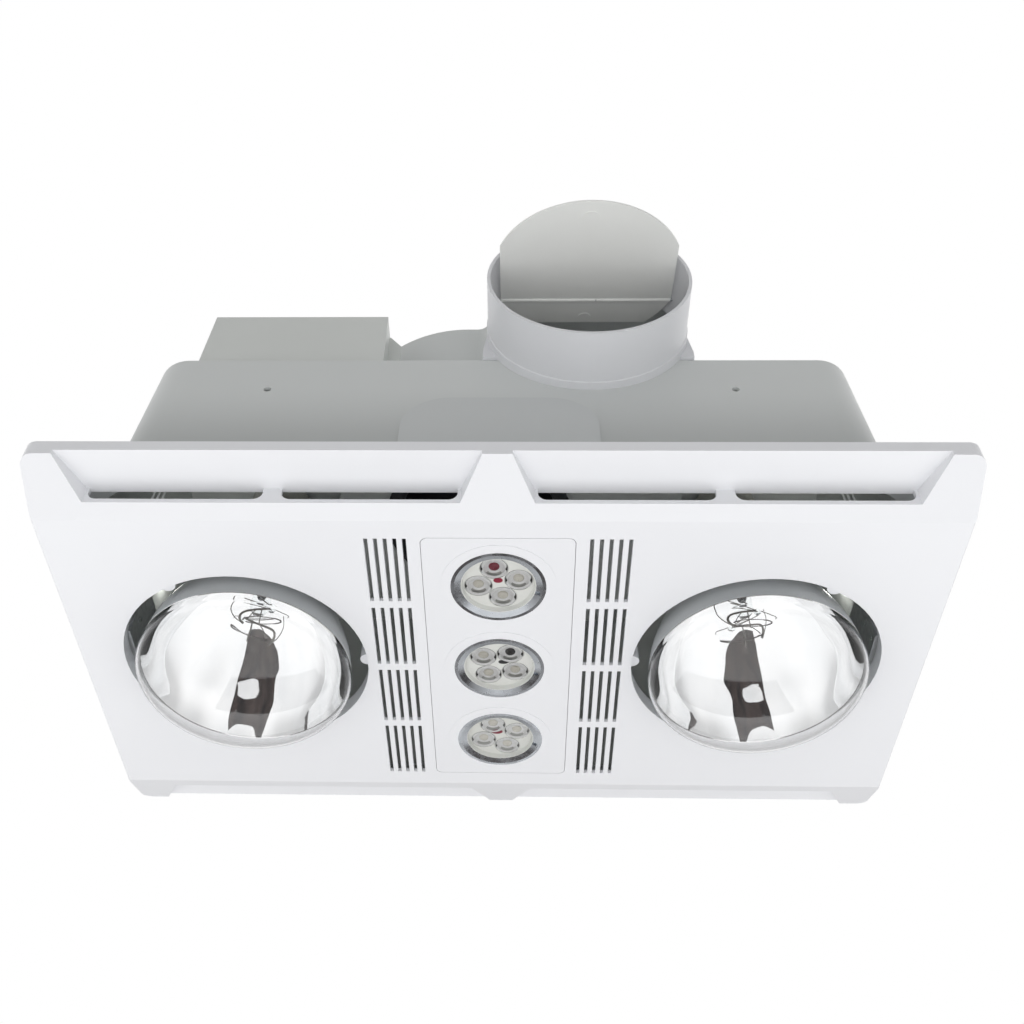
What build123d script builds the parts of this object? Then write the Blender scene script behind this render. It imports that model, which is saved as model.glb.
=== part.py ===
# Bathroom ceiling heater: two heat lamps, a three-lamp light panel and a ducted exhaust fan.
# Millimetres. The origin is the centre of the ceiling plane, on which the fascia's rim rests.
# +Z points up into the ceiling space, X runs along the fascia, and the duct leaves towards -Y.
import os
from math import atan2, cos, degrees, radians, sin, sqrt, tan

from build123d import *

os.makedirs("parts", exist_ok=True)

# Fascia, whose overhangs are measured from the housing's walls
fascia_overhang_x = 25.9
fascia_overhang_y = 27.8
fascia_height = 21.3
band_width = 35.8
edge_height = 9.8
fascia_wall = 2.5
fascia_corner = 7.0
fascia_edge_round = 1.0

# Air scoops in the sloped bands, two along each long side
scoop_end_margin = 17.0
scoop_middle_gap = 15.2
scoop_depth = 26.0
scoop_lean = 11.7
scoop_overrun = 6.0
scoop_floor_drop = 7.0
scoop_slot_margin = 1.55
scoop_slot_gap = 9.9
scoop_slot_height = 8.3
scoop_slot_corner = 5.0

# Grilles between the light panel and the lamp holes
grille_slot_width = 2.2
grille_slot_length = 47.8
grille_pitch_x = 5.1
grille_pitch_y = 53.2
grille_columns = 5
grille_rows = 4
grille_margin = 6.7

# Lamp holes
lamp_y = -3.6
lamp_hole_radius = 71.3
lamp_collar_wall = 2.0
lamp_collar_height = 7.0
lug_radius = 4.5
lug_height = 3.0
lug_inset = 0.3

# Light panel
panel_width = 82.6
panel_margin = 11.8
panel_corner = 4.0
panel_flange = 4.0
panel_flange_height = 1.6
panel_seam = 0.3
panel_screw_x = 28.0
panel_screw_depth = 3.5
panel_post_radius = 3.2
panel_post_gap = 0.4

# Small lamps in the panel
led_pitch = 68.2
led_middle_y = 0.8
led_ring_radius = 32.0
led_ring_height = 0.3
led_radius = 26.2
led_bezel_height = 9.5
led_bezel_rim = 1.9
led_bezel_slope = 1.1
led_notch_angle = 13.0
led_notch_length = 2.6
led_notch_width = 2.4
led_notch_depth = 1.2
led_seat_radius = 20.7
led_collar_wall = 2.2
led_board_wall = 1.0
led_dish_rim = 0.4
led_dish_depth = 2.6
led_dish_lean = 17.0
led_lens_radius = 7.9
led_lens_foot = 4.2
led_lens_circle = 11.3
led_lens_proud = 0.3
led_lens_count = 4
led_lens_turns = [78.0, 34.5, 67.0]
led_sink_plate = 3.0
led_sink_height = 20.0
led_sink_core = 12.0
led_fin_count = 16
led_fin_wall = 1.2

# Housing
housing_length = 438.2
housing_depth = 248.4
housing_height = 124.0
housing_draft = 3.4
housing_wall = 2.2
housing_corner = 28.0
housing_roof_round = 2.0
flange_reach = 11.9
flange_corner = 20.0
wall_hole_spacing = 275.0
wall_hole_height = 90.5
wall_hole_radius = 2.25
pad_half_width = 56.0
pad_height = 80.0
pad_corner = 28.0
pad_step = 1.2
vent_count = 3
vent_width = 2.4
vent_pitch = 6.0
vent_height = 34.0
vent_centre_z = 77.0
vent_y = 50.0
clip_width = 34.0
clip_wall = 1.2
clip_rise = 26.0
clip_drop = 13.0
clip_gap = 2.4

# Fan scroll: three arcs whose centres step round a square of side scroll_step
scroll_x = -23.0
scroll_y = -3.4
scroll_radius = 85.0
scroll_step = 17.5
scroll_base = 92.0
scroll_top = 200.0
scroll_wall = 2.2
scroll_outlet_x = -8.4
mouth_inset = 10.2
scroll_tongue_round = 8.0
scroll_gap = 0.4
scroll_rim = 7.0
scroll_rim_wall = 2.0
rim_spot_gap = 40.0
scroll_lip = 3.0
scroll_lip_wall = 1.4
lid_upright = 14.0
lid_upright_width = 110.0
lid_screw_spacing = 90.0
lid_screw_z = 206.0
inlet_radius = 50.5
inlet_wall = 1.5
inlet_rise = 7.0
inlet_flange = 10.0
inlet_flange_wall = 2.0
inlet_flare = 4.0

# Impeller and motor
impeller_radius = 68.0
impeller_inner = 55.0
impeller_base = 100.0
impeller_height = 84.0
impeller_disc_rise = 38.0
impeller_disc_wall = 1.6
impeller_ring_wall = 2.4
blade_count = 30
blade_wall = 1.0
blade_bow = 3.2
blade_inset = 0.5
hub_radius = 9.0
hub_height = 14.0
shaft_radius = 4.0
shaft_base = 134.0
shaft_length = 76.0
motor_radius = 41.0
motor_wall = 1.5
motor_base = 152.0
motor_top = 213.0
motor_flange_radius = 52.0
motor_screw_radius = 47.0
motor_screw_count = 4
motor_gap = 0.3
rotor_radius = 23.5
core_base = 166.0
core_height = 32.0
air_gap = 0.6
coil_count = 8
coil_radius = 3.9
coil_circle = 31.5
coil_slot_gap = 0.1
coil_ring_wall = 8.0
coil_ring_height = 6.0
bearing_radius = 9.0
bearing_height = 6.0
bearing_seat_wall = 1.5
running_gap = 0.05
shaft_clearance = 1.0

# Duct spigot
spigot_x = 53.1
spigot_z = 152.0
spigot_radius = 61.5
spigot_wall = 2.0
spigot_length = 43.5
spigot_shoulder = 0.6
spigot_flange_half = 60.8
spigot_flange_wall = 3.0
spigot_flange_top = 214.0
spigot_tab_reach = 3.4
spigot_tab_height = 10.5
spigot_gusset = 22.0
spigot_foot_height = 7.0
spigot_foot_wall = 4.5
spigot_screw_depth = 2.4
closing_wall = 2.0

# Damper: one flap that turns on a pin above the tube's axis and closes under its own weight
damper_inset = 30.8
damper_rise = 23.6
damper_pin_radius = 0.9
damper_knuckle_radius = 1.6
damper_knuckle_end_gap = 1.2
damper_split_x = 6.6
damper_split_gap = 0.6
damper_plate_wall = 1.2
damper_rim_gap = 1.0
damper_side_gap = 0.8
damper_tail_gap = 1.9
damper_open_angle = 75.0
damper_stop_gap = 0.3
damper_stop_wall = 2.0
damper_stop_reach = 2.5
damper_stop_half = 20.0
damper_gate_proud = 0.3
damper_gates = [(69.0, 5.5), (-15.5, 4.0)]

# Junction cover on the roof, with the terminal block and the capacitor under it
junction_left_x = -187.8
junction_right_x = -72.5
junction_front_y = -112.0
junction_back_y = -50.0
junction_bevel = 36.0
junction_foot = 11.0
junction_foot_wall = 2.0
junction_foot_reach = 4.5
junction_foot_gap = 5.0
junction_foot_inset = 60.0
junction_height = 58.8
junction_draft = 1.5
junction_wall = 2.2
junction_ear_x = -65.6
junction_ear_y = -95.0
junction_ear_top = 178.8
junction_ear_low = 168.7
junction_ear_inset = 0.5
junction_ear_wall = 2.0
gland_x = -150.0
gland_z = 148.0
gland_bore = 5.2
gland_shank = 8.0
gland_radius = 11.0
gland_length = 12.0
gland_washer = 1.0
gland_nut = 5.0
terminal_length = 60.0
terminal_width = 18.0
terminal_height = 16.0
terminal_margin_x = 12.5
terminal_margin_y = 9.0
terminal_count = 5
terminal_pitch = 11.0
terminal_pocket = 7.0
terminal_web = 8.0
terminal_floor = 6.0
terminal_screw_radius = 2.4
terminal_screw_height = 5.0
terminal_hole_depth = 9.0
capacitor_width = 20.0
capacitor_length = 36.0
capacitor_height = 28.0
capacitor_corner = 2.0
capacitor_margin_x = 12.8
capacitor_margin_y = 4.0

# Heat lamps. Their heights and drops are measured down from the tip of the cap.
lamp_radius = 62.5
lamp_equator_drop = 137.0
lamp_dome = 27.5
lamp_glass_wall = 1.2
lamp_neck_radius = 11.9
lamp_neck_top = 15.0
lamp_neck_base = 28.0
lamp_cap_radius = 13.0
lamp_cap_top = 7.0
lamp_cap_floor = 9.0
lamp_cone_base = 3.0
lamp_cone_top = 2.0
lamp_tip_radius = 4.5
lamp_stem_radius = 4.5
lamp_stem_seal = 2.0
lamp_stem_base = 67.0
filament_radius = 16.0
filament_wire = 1.0
filament_lead = 0.6
filament_lead_offset = 3.0
filament_drop = 95.0

# Half-section of the bulb between its neck and its equator, as radius and height below the cap's tip
bulb_shoulder = [(14.2, -31.0), (17.0, -37.0), (20.0, -45.0)]
bulb_flank = [(27.0, -59.0), (46.0, -89.0), (58.0, -115.0)]
bulb_shoulder_slope = (0.36, -0.93)

# Lamp holders, hung from brackets under the roof
holder_radius = 20.0
holder_height = 37.0
holder_roof = 9.0
holder_round = 1.5
socket_radius = 13.6
socket_wall = 1.0
socket_inset = 2.0
socket_height = 22.0
contact_radius = 6.0
contact_wall = 1.0
bracket_wall = 1.2
bracket_drop = 4.8
bracket_length = 84.0
bracket_hat = 40.0
bracket_width = 30.0
bracket_screw_y = 34.0
holder_screw_y = 11.0

# Fasteners
screw_radius = 1.5
screw_head_radius = 3.2
screw_head_height = 2.0
screw_length = 8.0


# Derived sizes and places
fascia_length = housing_length + 2 * fascia_overhang_x
fascia_depth = housing_depth + 2 * fascia_overhang_y
flange_length = housing_length + 2 * flange_reach
flange_depth = housing_depth + 2 * flange_reach
face_depth = fascia_depth - 2 * band_width
face_z = -fascia_height
face_back_z = face_z + fascia_wall
roof_z = housing_height
roof_under_z = roof_z - housing_wall
wall_slope = tan(radians(housing_draft))
scoop_riser_y = fascia_depth / 2 - scoop_depth
scoop_outer_half = (fascia_length / 2 - scoop_end_margin - scoop_middle_gap / 2) / 2
scoop_inner_half = scoop_outer_half - scoop_lean
scoop_centre_x = scoop_middle_gap / 2 + scoop_outer_half
scoop_slot_length = scoop_inner_half - scoop_slot_margin - scoop_slot_gap / 2
scoop_slot_pitch = scoop_slot_length + scoop_slot_gap
lamp_x = housing_length / 2 - housing_wall + clip_gap - lamp_hole_radius
lamp_places = {"left": -lamp_x, "right": lamp_x}
grille_centre_x = lamp_x - lamp_hole_radius - grille_margin - grille_pitch_x * (grille_columns - 1) / 2
panel_length = face_depth - 2 * panel_margin
panel_screw_y = panel_length / 2 + panel_flange + panel_post_radius + panel_post_gap
panel_screw_spots = [(x, y) for x in (-panel_screw_x, panel_screw_x) for y in (-panel_screw_y, panel_screw_y)]
led_places = [led_middle_y + step * led_pitch for step in (-1, 0, 1)]
led_front_z = face_z - led_ring_height
led_back_z = led_front_z + led_bezel_height
scroll_right_x = scroll_x + scroll_step + scroll_radius + 2 * scroll_step
scroll_mouth_y = mouth_inset - housing_depth / 2
fan_x = scroll_x + scroll_step / 2
fan_y = scroll_y - scroll_step / 2
lid_base = scroll_top - scroll_wall
spigot_bore = spigot_radius - spigot_wall
spigot_mouth_y = scroll_mouth_y - spigot_length
terminal_x = junction_right_x - terminal_margin_x - terminal_length / 2
terminal_y = junction_front_y + terminal_margin_y + terminal_width / 2
capacitor_x = junction_left_x + capacitor_margin_x + capacitor_width / 2
capacitor_y = junction_front_y + capacitor_margin_y + capacitor_length / 2
holder_top = roof_under_z - bracket_drop
lamp_tip_z = holder_top - holder_roof - contact_wall
holder_base = holder_top - holder_height
roof_screw_spots = [(x, lamp_y + way * bracket_screw_y) for x in lamp_places.values() for way in (-1, 1)]
holder_screw_spots = [(x, lamp_y + way * holder_screw_y) for x in lamp_places.values() for way in (-1, 1)]
foot_spots = [
    (junction_right_x + junction_foot_reach, junction_ear_y - junction_foot_gap),
    (junction_left_x + junction_foot_inset, junction_back_y + junction_foot_reach),
]
rim_reach = scroll_radius + scroll_rim / 2
rim_diagonal = cos(radians(45))
rim_spots = [
    (scroll_x - rim_reach, scroll_y),
    (scroll_x - rim_reach * rim_diagonal, scroll_y - rim_reach * rim_diagonal),
    (scroll_x, scroll_y + rim_reach + scroll_step),
    (scroll_x + scroll_step + (rim_reach + 2 * scroll_step) * rim_diagonal,
     scroll_y - scroll_step + (rim_reach + 2 * scroll_step) * rim_diagonal),
    (scroll_right_x + scroll_rim / 2, scroll_mouth_y + rim_spot_gap),
]

def fascia_points():
    """Cross-section of the fascia in the YZ plane, carried above the ceiling plane by one wall."""
    half = fascia_depth / 2
    return [
        (-half, fascia_wall),
        (-half, -edge_height),
        (-face_depth / 2, face_z),
        (face_depth / 2, face_z),
        (half, -edge_height),
        (half, fascia_wall),
    ]


def scoop_points(grow):
    """Trapezoid of one scoop about x = 0, open past the fascia's edge on its -Y side."""
    lean = scoop_lean / scoop_depth
    outer_half = scoop_outer_half + lean * scoop_overrun + grow
    inner_half = scoop_inner_half - lean * grow + grow
    outer_y = -fascia_depth / 2 - scoop_overrun
    inner_y = -scoop_riser_y + grow
    return [(-outer_half, outer_y), (outer_half, outer_y), (inner_half, inner_y), (-inner_half, inner_y)]


def scoop_planes(height):
    """Planes of the four scoops. The scoops of the far side are turned half round."""
    near = [Plane((x, 0, height)) for x in (-scoop_centre_x, scoop_centre_x)]
    far = [Plane((x, 0, height), x_dir=(-1, 0, 0)) for x in (-scoop_centre_x, scoop_centre_x)]
    return near + far


def lamp_at(x, height):
    """Horizontal plane on the axis of a heat lamp."""
    return Plane((x, lamp_y, height))


def fan_at(height):
    """Horizontal plane on the fan's axis."""
    return Plane((fan_x, fan_y, height))


# Fascia: a tray that opens upwards. Its hollow leaves the scoop boxes and the lamp collars standing.
with BuildPart() as fascia_hollow:
    with BuildSketch(Plane.YZ):
        with BuildLine():
            Polyline(*fascia_points(), close=True)
        make_face()
        offset(amount=-fascia_wall, kind=Kind.INTERSECTION)
    extrude(amount=fascia_length / 2 - fascia_wall, both=True)
    with BuildSketch(Plane.XY.offset(-fascia_wall)):
        Rectangle(fascia_length - 2 * fascia_wall, fascia_depth - 2 * fascia_wall)
    extrude(amount=2 * fascia_wall)
    for plane in scoop_planes(-scoop_floor_drop + fascia_wall):
        with BuildSketch(plane):
            with BuildLine():
                Polyline(*scoop_points(fascia_wall), close=True)
            make_face()
        extrude(amount=-fascia_height, mode=Mode.SUBTRACT)
    with BuildSketch(Plane.XY.offset(face_back_z)):
        with Locations((-lamp_x, lamp_y), (lamp_x, lamp_y)):
            Circle(lamp_hole_radius + lamp_collar_wall)
    extrude(amount=lamp_collar_height, mode=Mode.SUBTRACT)

with BuildPart() as fascia:
    with BuildSketch(Plane.YZ):
        with BuildLine():
            Polyline(*fascia_points(), close=True)
        make_face()
    extrude(amount=fascia_length / 2, both=True)
    with BuildSketch(Plane.XY):
        Rectangle(fascia_length, fascia_depth)
    extrude(amount=fascia_wall, mode=Mode.SUBTRACT)
    fillet(fascia.edges().filter_by(Axis.Z), fascia_corner)
    fillet(fascia.faces().sort_by(Axis.Z)[0].edges().filter_by(Axis.Y), fascia_edge_round)
    add(fascia_hollow.part, mode=Mode.SUBTRACT)
    for plane in scoop_planes(-scoop_floor_drop):
        with BuildSketch(plane):
            with BuildLine():
                Polyline(*scoop_points(0), close=True)
            make_face()
        extrude(amount=-fascia_height, mode=Mode.SUBTRACT)
    # Slots through the scoops' risers, level with the scoop floors
    for side in (-1, 1):
        with BuildSketch(Plane.XZ.offset(-side * (scoop_riser_y + 1))) as riser_slots:
            for centre in (-scoop_centre_x, scoop_centre_x):
                with Locations((centre, -scoop_floor_drop - scoop_slot_height / 2)):
                    with GridLocations(scoop_slot_pitch, 0, 2, 1):
                        Rectangle(scoop_slot_length, scoop_slot_height)
            fillet(riser_slots.vertices().group_by(Axis.Y)[0], scoop_slot_corner)
        extrude(amount=side * (fascia_wall + 2), mode=Mode.SUBTRACT)
    # Lamp holes, with three round lugs on each collar
    with BuildSketch(Plane.XY.offset(face_z)):
        with Locations((-lamp_x, lamp_y), (lamp_x, lamp_y)):
            Circle(lamp_hole_radius)
    extrude(amount=fascia_wall + lamp_collar_height, mode=Mode.SUBTRACT)
    with BuildSketch(Plane.XY.offset(face_back_z)):
        for x, start in ((-lamp_x, 0), (lamp_x, 180)):
            with Locations((x, lamp_y)):
                with PolarLocations(lamp_hole_radius - lug_inset, 3, start_angle=start):
                    Circle(lug_radius)
    extrude(amount=lamp_collar_height + lug_height)
    # Grilles
    with BuildSketch(Plane.XY.offset(face_z)):
        with Locations((-grille_centre_x, 0), (grille_centre_x, 0)):
            with GridLocations(grille_pitch_x, grille_pitch_y, grille_columns, grille_rows):
                Rectangle(grille_slot_width, grille_slot_length)
    extrude(amount=fascia_wall, mode=Mode.SUBTRACT)
    # Opening and screw posts for the light panel
    with BuildSketch(Plane.XY.offset(face_z)):
        RectangleRounded(panel_width, panel_length, panel_corner)
    extrude(amount=fascia_wall, mode=Mode.SUBTRACT)
    with BuildSketch(Plane.XY.offset(face_back_z)):
        with Locations(panel_screw_spots):
            Circle(panel_post_radius)
    extrude(amount=panel_flange_height)
    with BuildSketch(Plane.XY.offset(face_back_z + panel_flange_height)):
        with Locations(panel_screw_spots):
            Circle(screw_radius)
    extrude(amount=-panel_screw_depth, mode=Mode.SUBTRACT)
fascia.part.label = "fascia"
export_step(fascia.part, "parts/fascia.step")

# Light panel: flush in the fascia, with a flange behind the fascia's face
with BuildPart() as light_panel:
    with BuildSketch(Plane.XY.offset(face_z)):
        RectangleRounded(panel_width - 2 * panel_seam, panel_length - 2 * panel_seam, panel_corner)
    extrude(amount=fascia_wall)
    with BuildSketch(Plane.XY.offset(face_back_z)):
        RectangleRounded(panel_width + 2 * panel_flange, panel_length + 2 * panel_flange, panel_corner)
    extrude(amount=panel_flange_height)
    with BuildSketch(Plane.XY.offset(led_front_z)):
        with Locations([(0, y) for y in led_places]):
            Circle(led_ring_radius)
    extrude(amount=led_ring_height)
    with BuildSketch(Plane.XY.offset(face_back_z)):
        with Locations([(0, y) for y in led_places]):
            Circle(led_radius + led_collar_wall)
    extrude(amount=led_back_z - face_back_z)
    with BuildSketch(Plane.XY.offset(led_front_z)):
        with Locations([(0, y) for y in led_places]):
            Circle(led_radius)
    extrude(amount=led_bezel_height, mode=Mode.SUBTRACT)
light_panel.part.label = "light_panel"
export_step(light_panel.part, "parts/light_panel.step")

# Washer-head screws whose heads hold the panel's flange
with BuildPart() as panel_screws:
    with BuildSketch(Plane.XY.offset(face_back_z + panel_flange_height)):
        with Locations(panel_screw_spots):
            Circle(panel_post_radius + screw_radius)
    extrude(amount=screw_head_height)
    with BuildSketch(Plane.XY.offset(face_back_z + panel_flange_height)):
        with Locations(panel_screw_spots):
            Circle(screw_radius)
    extrude(amount=-panel_screw_depth)
panel_screws.part.label = "panel_screws"
export_step(panel_screws.part, "parts/panel_screws.step")

for number, (y, turn) in enumerate(zip(led_places, led_lens_turns), start=1):
    # Bezel: a ring with a sloping front and a notch for a tool
    with BuildPart() as led_bezel:
        with BuildSketch(Plane.XZ.offset(-y)):
            with BuildLine():
                Polyline(
                    (led_seat_radius, led_back_z),
                    (led_seat_radius, led_front_z + led_bezel_slope),
                    (led_radius - led_bezel_rim, led_front_z),
                    (led_radius, led_front_z),
                    (led_radius, led_back_z),
                    close=True,
                )
            make_face()
        revolve(axis=Axis((0, y, 0), (0, 0, 1)))
        with BuildSketch(Plane((0, y, led_front_z))):
            with PolarLocations(led_seat_radius, 1, start_angle=led_notch_angle):
                Rectangle(led_notch_length, led_notch_width, align=(Align.MIN, Align.CENTER))
        extrude(amount=led_bezel_slope + led_notch_depth, mode=Mode.SUBTRACT)
    led_bezel.part.label = f"led_bezel_{number}"
    export_step(led_bezel.part, f"parts/led_bezel_{number}.step")

    # Clear lenses, each a short disc on a cone
    lens_seat_z = led_front_z + led_bezel_slope + led_dish_depth
    lens_depth = led_back_z - led_board_wall - lens_seat_z
    with BuildPart() as led_lenses:
        with BuildSketch(Plane((0, y, lens_seat_z))):
            with PolarLocations(led_lens_circle, led_lens_count, start_angle=turn):
                Circle(led_lens_radius)
        extrude(amount=-led_lens_proud)
        with BuildSketch(Plane((0, y, lens_seat_z))):
            with PolarLocations(led_lens_circle, led_lens_count, start_angle=turn):
                Circle(led_lens_radius)
        extrude(amount=lens_depth, taper=degrees(atan2(led_lens_radius - led_lens_foot, lens_depth)))
    led_lenses.part.label = f"led_lenses_{number}"
    export_step(led_lenses.part, f"parts/led_lenses_{number}.step")

    # Board: a shallow dish with a conical pocket for each lens
    with BuildPart() as led_board:
        with BuildSketch(Plane((0, y, led_front_z + led_bezel_slope))):
            Circle(led_seat_radius)
        extrude(amount=led_bezel_height - led_bezel_slope)
        with BuildSketch(Plane((0, y, led_front_z + led_bezel_slope))):
            Circle(led_seat_radius - led_dish_rim)
        extrude(amount=led_dish_depth, taper=led_dish_lean, mode=Mode.SUBTRACT)
        add(led_lenses.part, mode=Mode.SUBTRACT)
    led_board.part.label = f"led_board_{number}"
    export_step(led_board.part, f"parts/led_board_{number}.step")

    # Heat sink with radial fins
    with BuildPart() as led_heatsink:
        with BuildSketch(Plane((0, y, led_back_z))):
            Circle(led_radius + led_collar_wall)
        extrude(amount=led_sink_plate)
        with BuildSketch(Plane((0, y, led_back_z + led_sink_plate))):
            Circle(led_sink_core)
            with PolarLocations(led_sink_core - led_fin_wall, led_fin_count):
                Rectangle(led_radius - led_sink_core, led_fin_wall, align=(Align.MIN, Align.CENTER))
        extrude(amount=led_sink_height)
    led_heatsink.part.label = f"led_heatsink_{number}"
    export_step(led_heatsink.part, f"parts/led_heatsink_{number}.step")

# Housing: a drafted tub with a flange that bears on the ceiling's underside
with BuildPart() as tub_outside:
    with BuildSketch(Plane.XY):
        RectangleRounded(housing_length, housing_depth, housing_corner)
    extrude(amount=housing_height, taper=housing_draft)
    fillet(tub_outside.faces().sort_by(Axis.Z)[-1].edges(), housing_roof_round)

with BuildPart() as tub_inside:
    with BuildSketch(Plane.XY):
        RectangleRounded(
            housing_length - 2 * housing_wall,
            housing_depth - 2 * housing_wall,
            housing_corner - housing_wall,
        )
    extrude(amount=roof_under_z, taper=housing_draft)
    with BuildSketch(Plane.XY):
        RectangleRounded(
            housing_length - 2 * housing_wall,
            housing_depth - 2 * housing_wall,
            housing_corner - housing_wall,
        )
    extrude(amount=-housing_wall)

with BuildPart() as wall_pad:
    with BuildSketch(Plane.XY):
        Rectangle(housing_length, housing_depth + 2 * pad_step)
    extrude(amount=pad_height, taper=housing_draft)
    with BuildSketch(Plane.XZ.offset(housing_depth / 2 + pad_step)) as pad_shape:
        with Locations((0, pad_height / 2)):
            Rectangle(2 * pad_half_width, pad_height)
        fillet(pad_shape.vertices().group_by(Axis.Y)[-1], pad_corner)
    extrude(amount=-housing_depth / 4, mode=Mode.INTERSECT)


def scroll_line(grow):
    """Closed outline of the fan scroll, moved outwards by a distance, as a face."""
    low = (scroll_x, scroll_y - scroll_radius - grow)
    left = (scroll_x - scroll_radius - grow, scroll_y)
    top = (scroll_x + scroll_step, scroll_y + scroll_radius + scroll_step + grow)
    right = (scroll_right_x + grow, scroll_y - scroll_step)
    diagonal = 0.5 ** 0.5
    low_left = (scroll_x - (scroll_radius + grow) * diagonal, scroll_y - (scroll_radius + grow) * diagonal)
    reach = scroll_radius + scroll_step + grow
    top_left = (scroll_x + scroll_step - reach * diagonal, scroll_y + reach * diagonal)
    reach = scroll_radius + 2 * scroll_step + grow
    top_right = (scroll_x + scroll_step + reach * diagonal, scroll_y - scroll_step + reach * diagonal)
    tongue = scroll_tongue_round - grow
    corner_x = scroll_outlet_x - grow
    corner_y = low[1]
    bend = (corner_x - tongue * (1 - diagonal), corner_y - tongue * (1 - diagonal))
    with BuildSketch(mode=Mode.PRIVATE) as outline:
        with BuildLine():
            ThreePointArc(low, low_left, left)
            ThreePointArc(left, top_left, top)
            ThreePointArc(top, top_right, right)
            Line(right, (right[0], scroll_mouth_y))
            Line((right[0], scroll_mouth_y), (corner_x, scroll_mouth_y))
            Line((corner_x, scroll_mouth_y), (corner_x, corner_y - tongue))
            ThreePointArc((corner_x, corner_y - tongue), bend, (corner_x - tongue, corner_y))
            Line((corner_x - tongue, corner_y), low)
        make_face()
    return outline.sketch


with BuildPart() as housing:
    add(tub_outside.part)
    add(wall_pad.part)
    with BuildSketch(Plane.XY):
        RectangleRounded(flange_length, flange_depth, flange_corner)
    extrude(amount=-housing_wall)
    add(tub_inside.part, mode=Mode.SUBTRACT)
    # Roof opening for the scroll, and the duct's way through the front wall
    with BuildSketch(Plane.XY.offset(roof_under_z)):
        add(scroll_line(scroll_gap))
    extrude(amount=2 * housing_wall, mode=Mode.SUBTRACT)
    with BuildSketch(Plane.XZ.offset(-scroll_mouth_y - housing_wall)):
        with Locations((spigot_x, spigot_z)):
            Circle(spigot_bore)
    extrude(amount=6 * housing_wall, mode=Mode.SUBTRACT)
    # Screw holes in the roof and the long walls, and vents in the end walls
    with BuildSketch(Plane.XY.offset(roof_z)):
        with Locations(roof_screw_spots + foot_spots + rim_spots):
            Circle(screw_radius)
    extrude(amount=-housing_wall, mode=Mode.SUBTRACT)
    with BuildSketch(Plane.XZ):
        with Locations((-wall_hole_spacing / 2, wall_hole_height), (wall_hole_spacing / 2, wall_hole_height)):
            Circle(wall_hole_radius)
    extrude(amount=housing_depth / 2, both=True, mode=Mode.SUBTRACT)
    with BuildSketch(Plane.YZ):
        with Locations((-vent_y, vent_centre_z), (vent_y, vent_centre_z)):
            with GridLocations(vent_pitch, 0, vent_count, 1):
                Rectangle(vent_width, vent_height)
    extrude(amount=housing_length / 2, both=True, mode=Mode.SUBTRACT)
housing.part.label = "housing"
export_step(housing.part, "parts/housing.step")

# Spring clips: leaves on the end walls that grip the collars of the fascia's lamp holes
with BuildPart() as fascia_clips:
    inner_x = housing_length / 2 - housing_wall
    with BuildSketch(Plane.XZ.offset(-lamp_y)):
        with BuildLine():
            Polyline(
                (inner_x, 0),
                (inner_x - clip_rise * wall_slope, clip_rise),
                (inner_x - clip_rise * wall_slope - clip_wall, clip_rise),
                (inner_x - clip_wall, 0),
                (inner_x - clip_wall, -clip_drop),
                (inner_x, -clip_drop),
                close=True,
            )
        make_face()
    extrude(amount=clip_width / 2, both=True)
    mirror(about=Plane.YZ)
fascia_clips.part.label = "fascia_clips"
export_step(fascia_clips.part, "parts/fascia_clips.step")

# Scroll case: floor with the inlet hole, wall, and a rim that rests on the roof
with BuildPart() as scroll_case:
    with BuildSketch(Plane.XY.offset(scroll_base)):
        add(scroll_line(0))
    extrude(amount=lid_base - scroll_base)
    with BuildSketch(Plane.XY.offset(roof_z)) as rim:
        add(scroll_line(scroll_rim))
        with Locations((0, scroll_mouth_y)):
            Rectangle(housing_length, 2 * scroll_rim, mode=Mode.SUBTRACT)
        with Locations(rim_spots):
            Circle(screw_radius, mode=Mode.SUBTRACT)
    extrude(amount=scroll_rim_wall)
    with BuildSketch(Plane.XY.offset(scroll_base + scroll_wall)):
        add(scroll_line(-scroll_wall))
        with Locations(((scroll_outlet_x + scroll_right_x) / 2, scroll_mouth_y)):
            Rectangle(scroll_right_x - scroll_outlet_x - 2 * scroll_wall, 4 * scroll_wall)
    extrude(amount=scroll_top - scroll_base, mode=Mode.SUBTRACT)
    with BuildSketch(fan_at(scroll_base)):
        Circle(inlet_radius + inlet_wall)
    extrude(amount=scroll_wall, mode=Mode.SUBTRACT)
scroll_case.part.label = "scroll_case"
export_step(scroll_case.part, "parts/scroll_case.step")

# Lid of the scroll, with a lip inside the wall and a hole for the motor
with BuildPart() as scroll_lid:
    with BuildSketch(Plane.XY.offset(lid_base)):
        add(scroll_line(0))
    extrude(amount=scroll_wall)
    with BuildSketch(Plane.XY.offset(lid_base)):
        add(scroll_line(-scroll_wall - running_gap))
        add(scroll_line(-scroll_wall - scroll_lip_wall), mode=Mode.SUBTRACT)
        with Locations((0, scroll_mouth_y)):
            Rectangle(housing_length, 4 * scroll_wall, mode=Mode.SUBTRACT)
    extrude(amount=-scroll_lip)
    with BuildSketch(fan_at(scroll_top)):
        Circle(motor_radius + motor_gap)
    extrude(amount=-scroll_wall, mode=Mode.SUBTRACT)
    # Upright at the mouth, to which the spigot's flange is screwed
    with BuildSketch(Plane.XZ.offset(-scroll_mouth_y)):
        with Locations((spigot_x, lid_base + lid_upright / 2)):
            Rectangle(lid_upright_width, lid_upright)
        with Locations((spigot_x, lid_screw_z)):
            with GridLocations(lid_screw_spacing, 0, 2, 1):
                Circle(screw_radius, mode=Mode.SUBTRACT)
    extrude(amount=-scroll_wall)
scroll_lid.part.label = "scroll_lid"
export_step(scroll_lid.part, "parts/scroll_lid.step")

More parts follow.
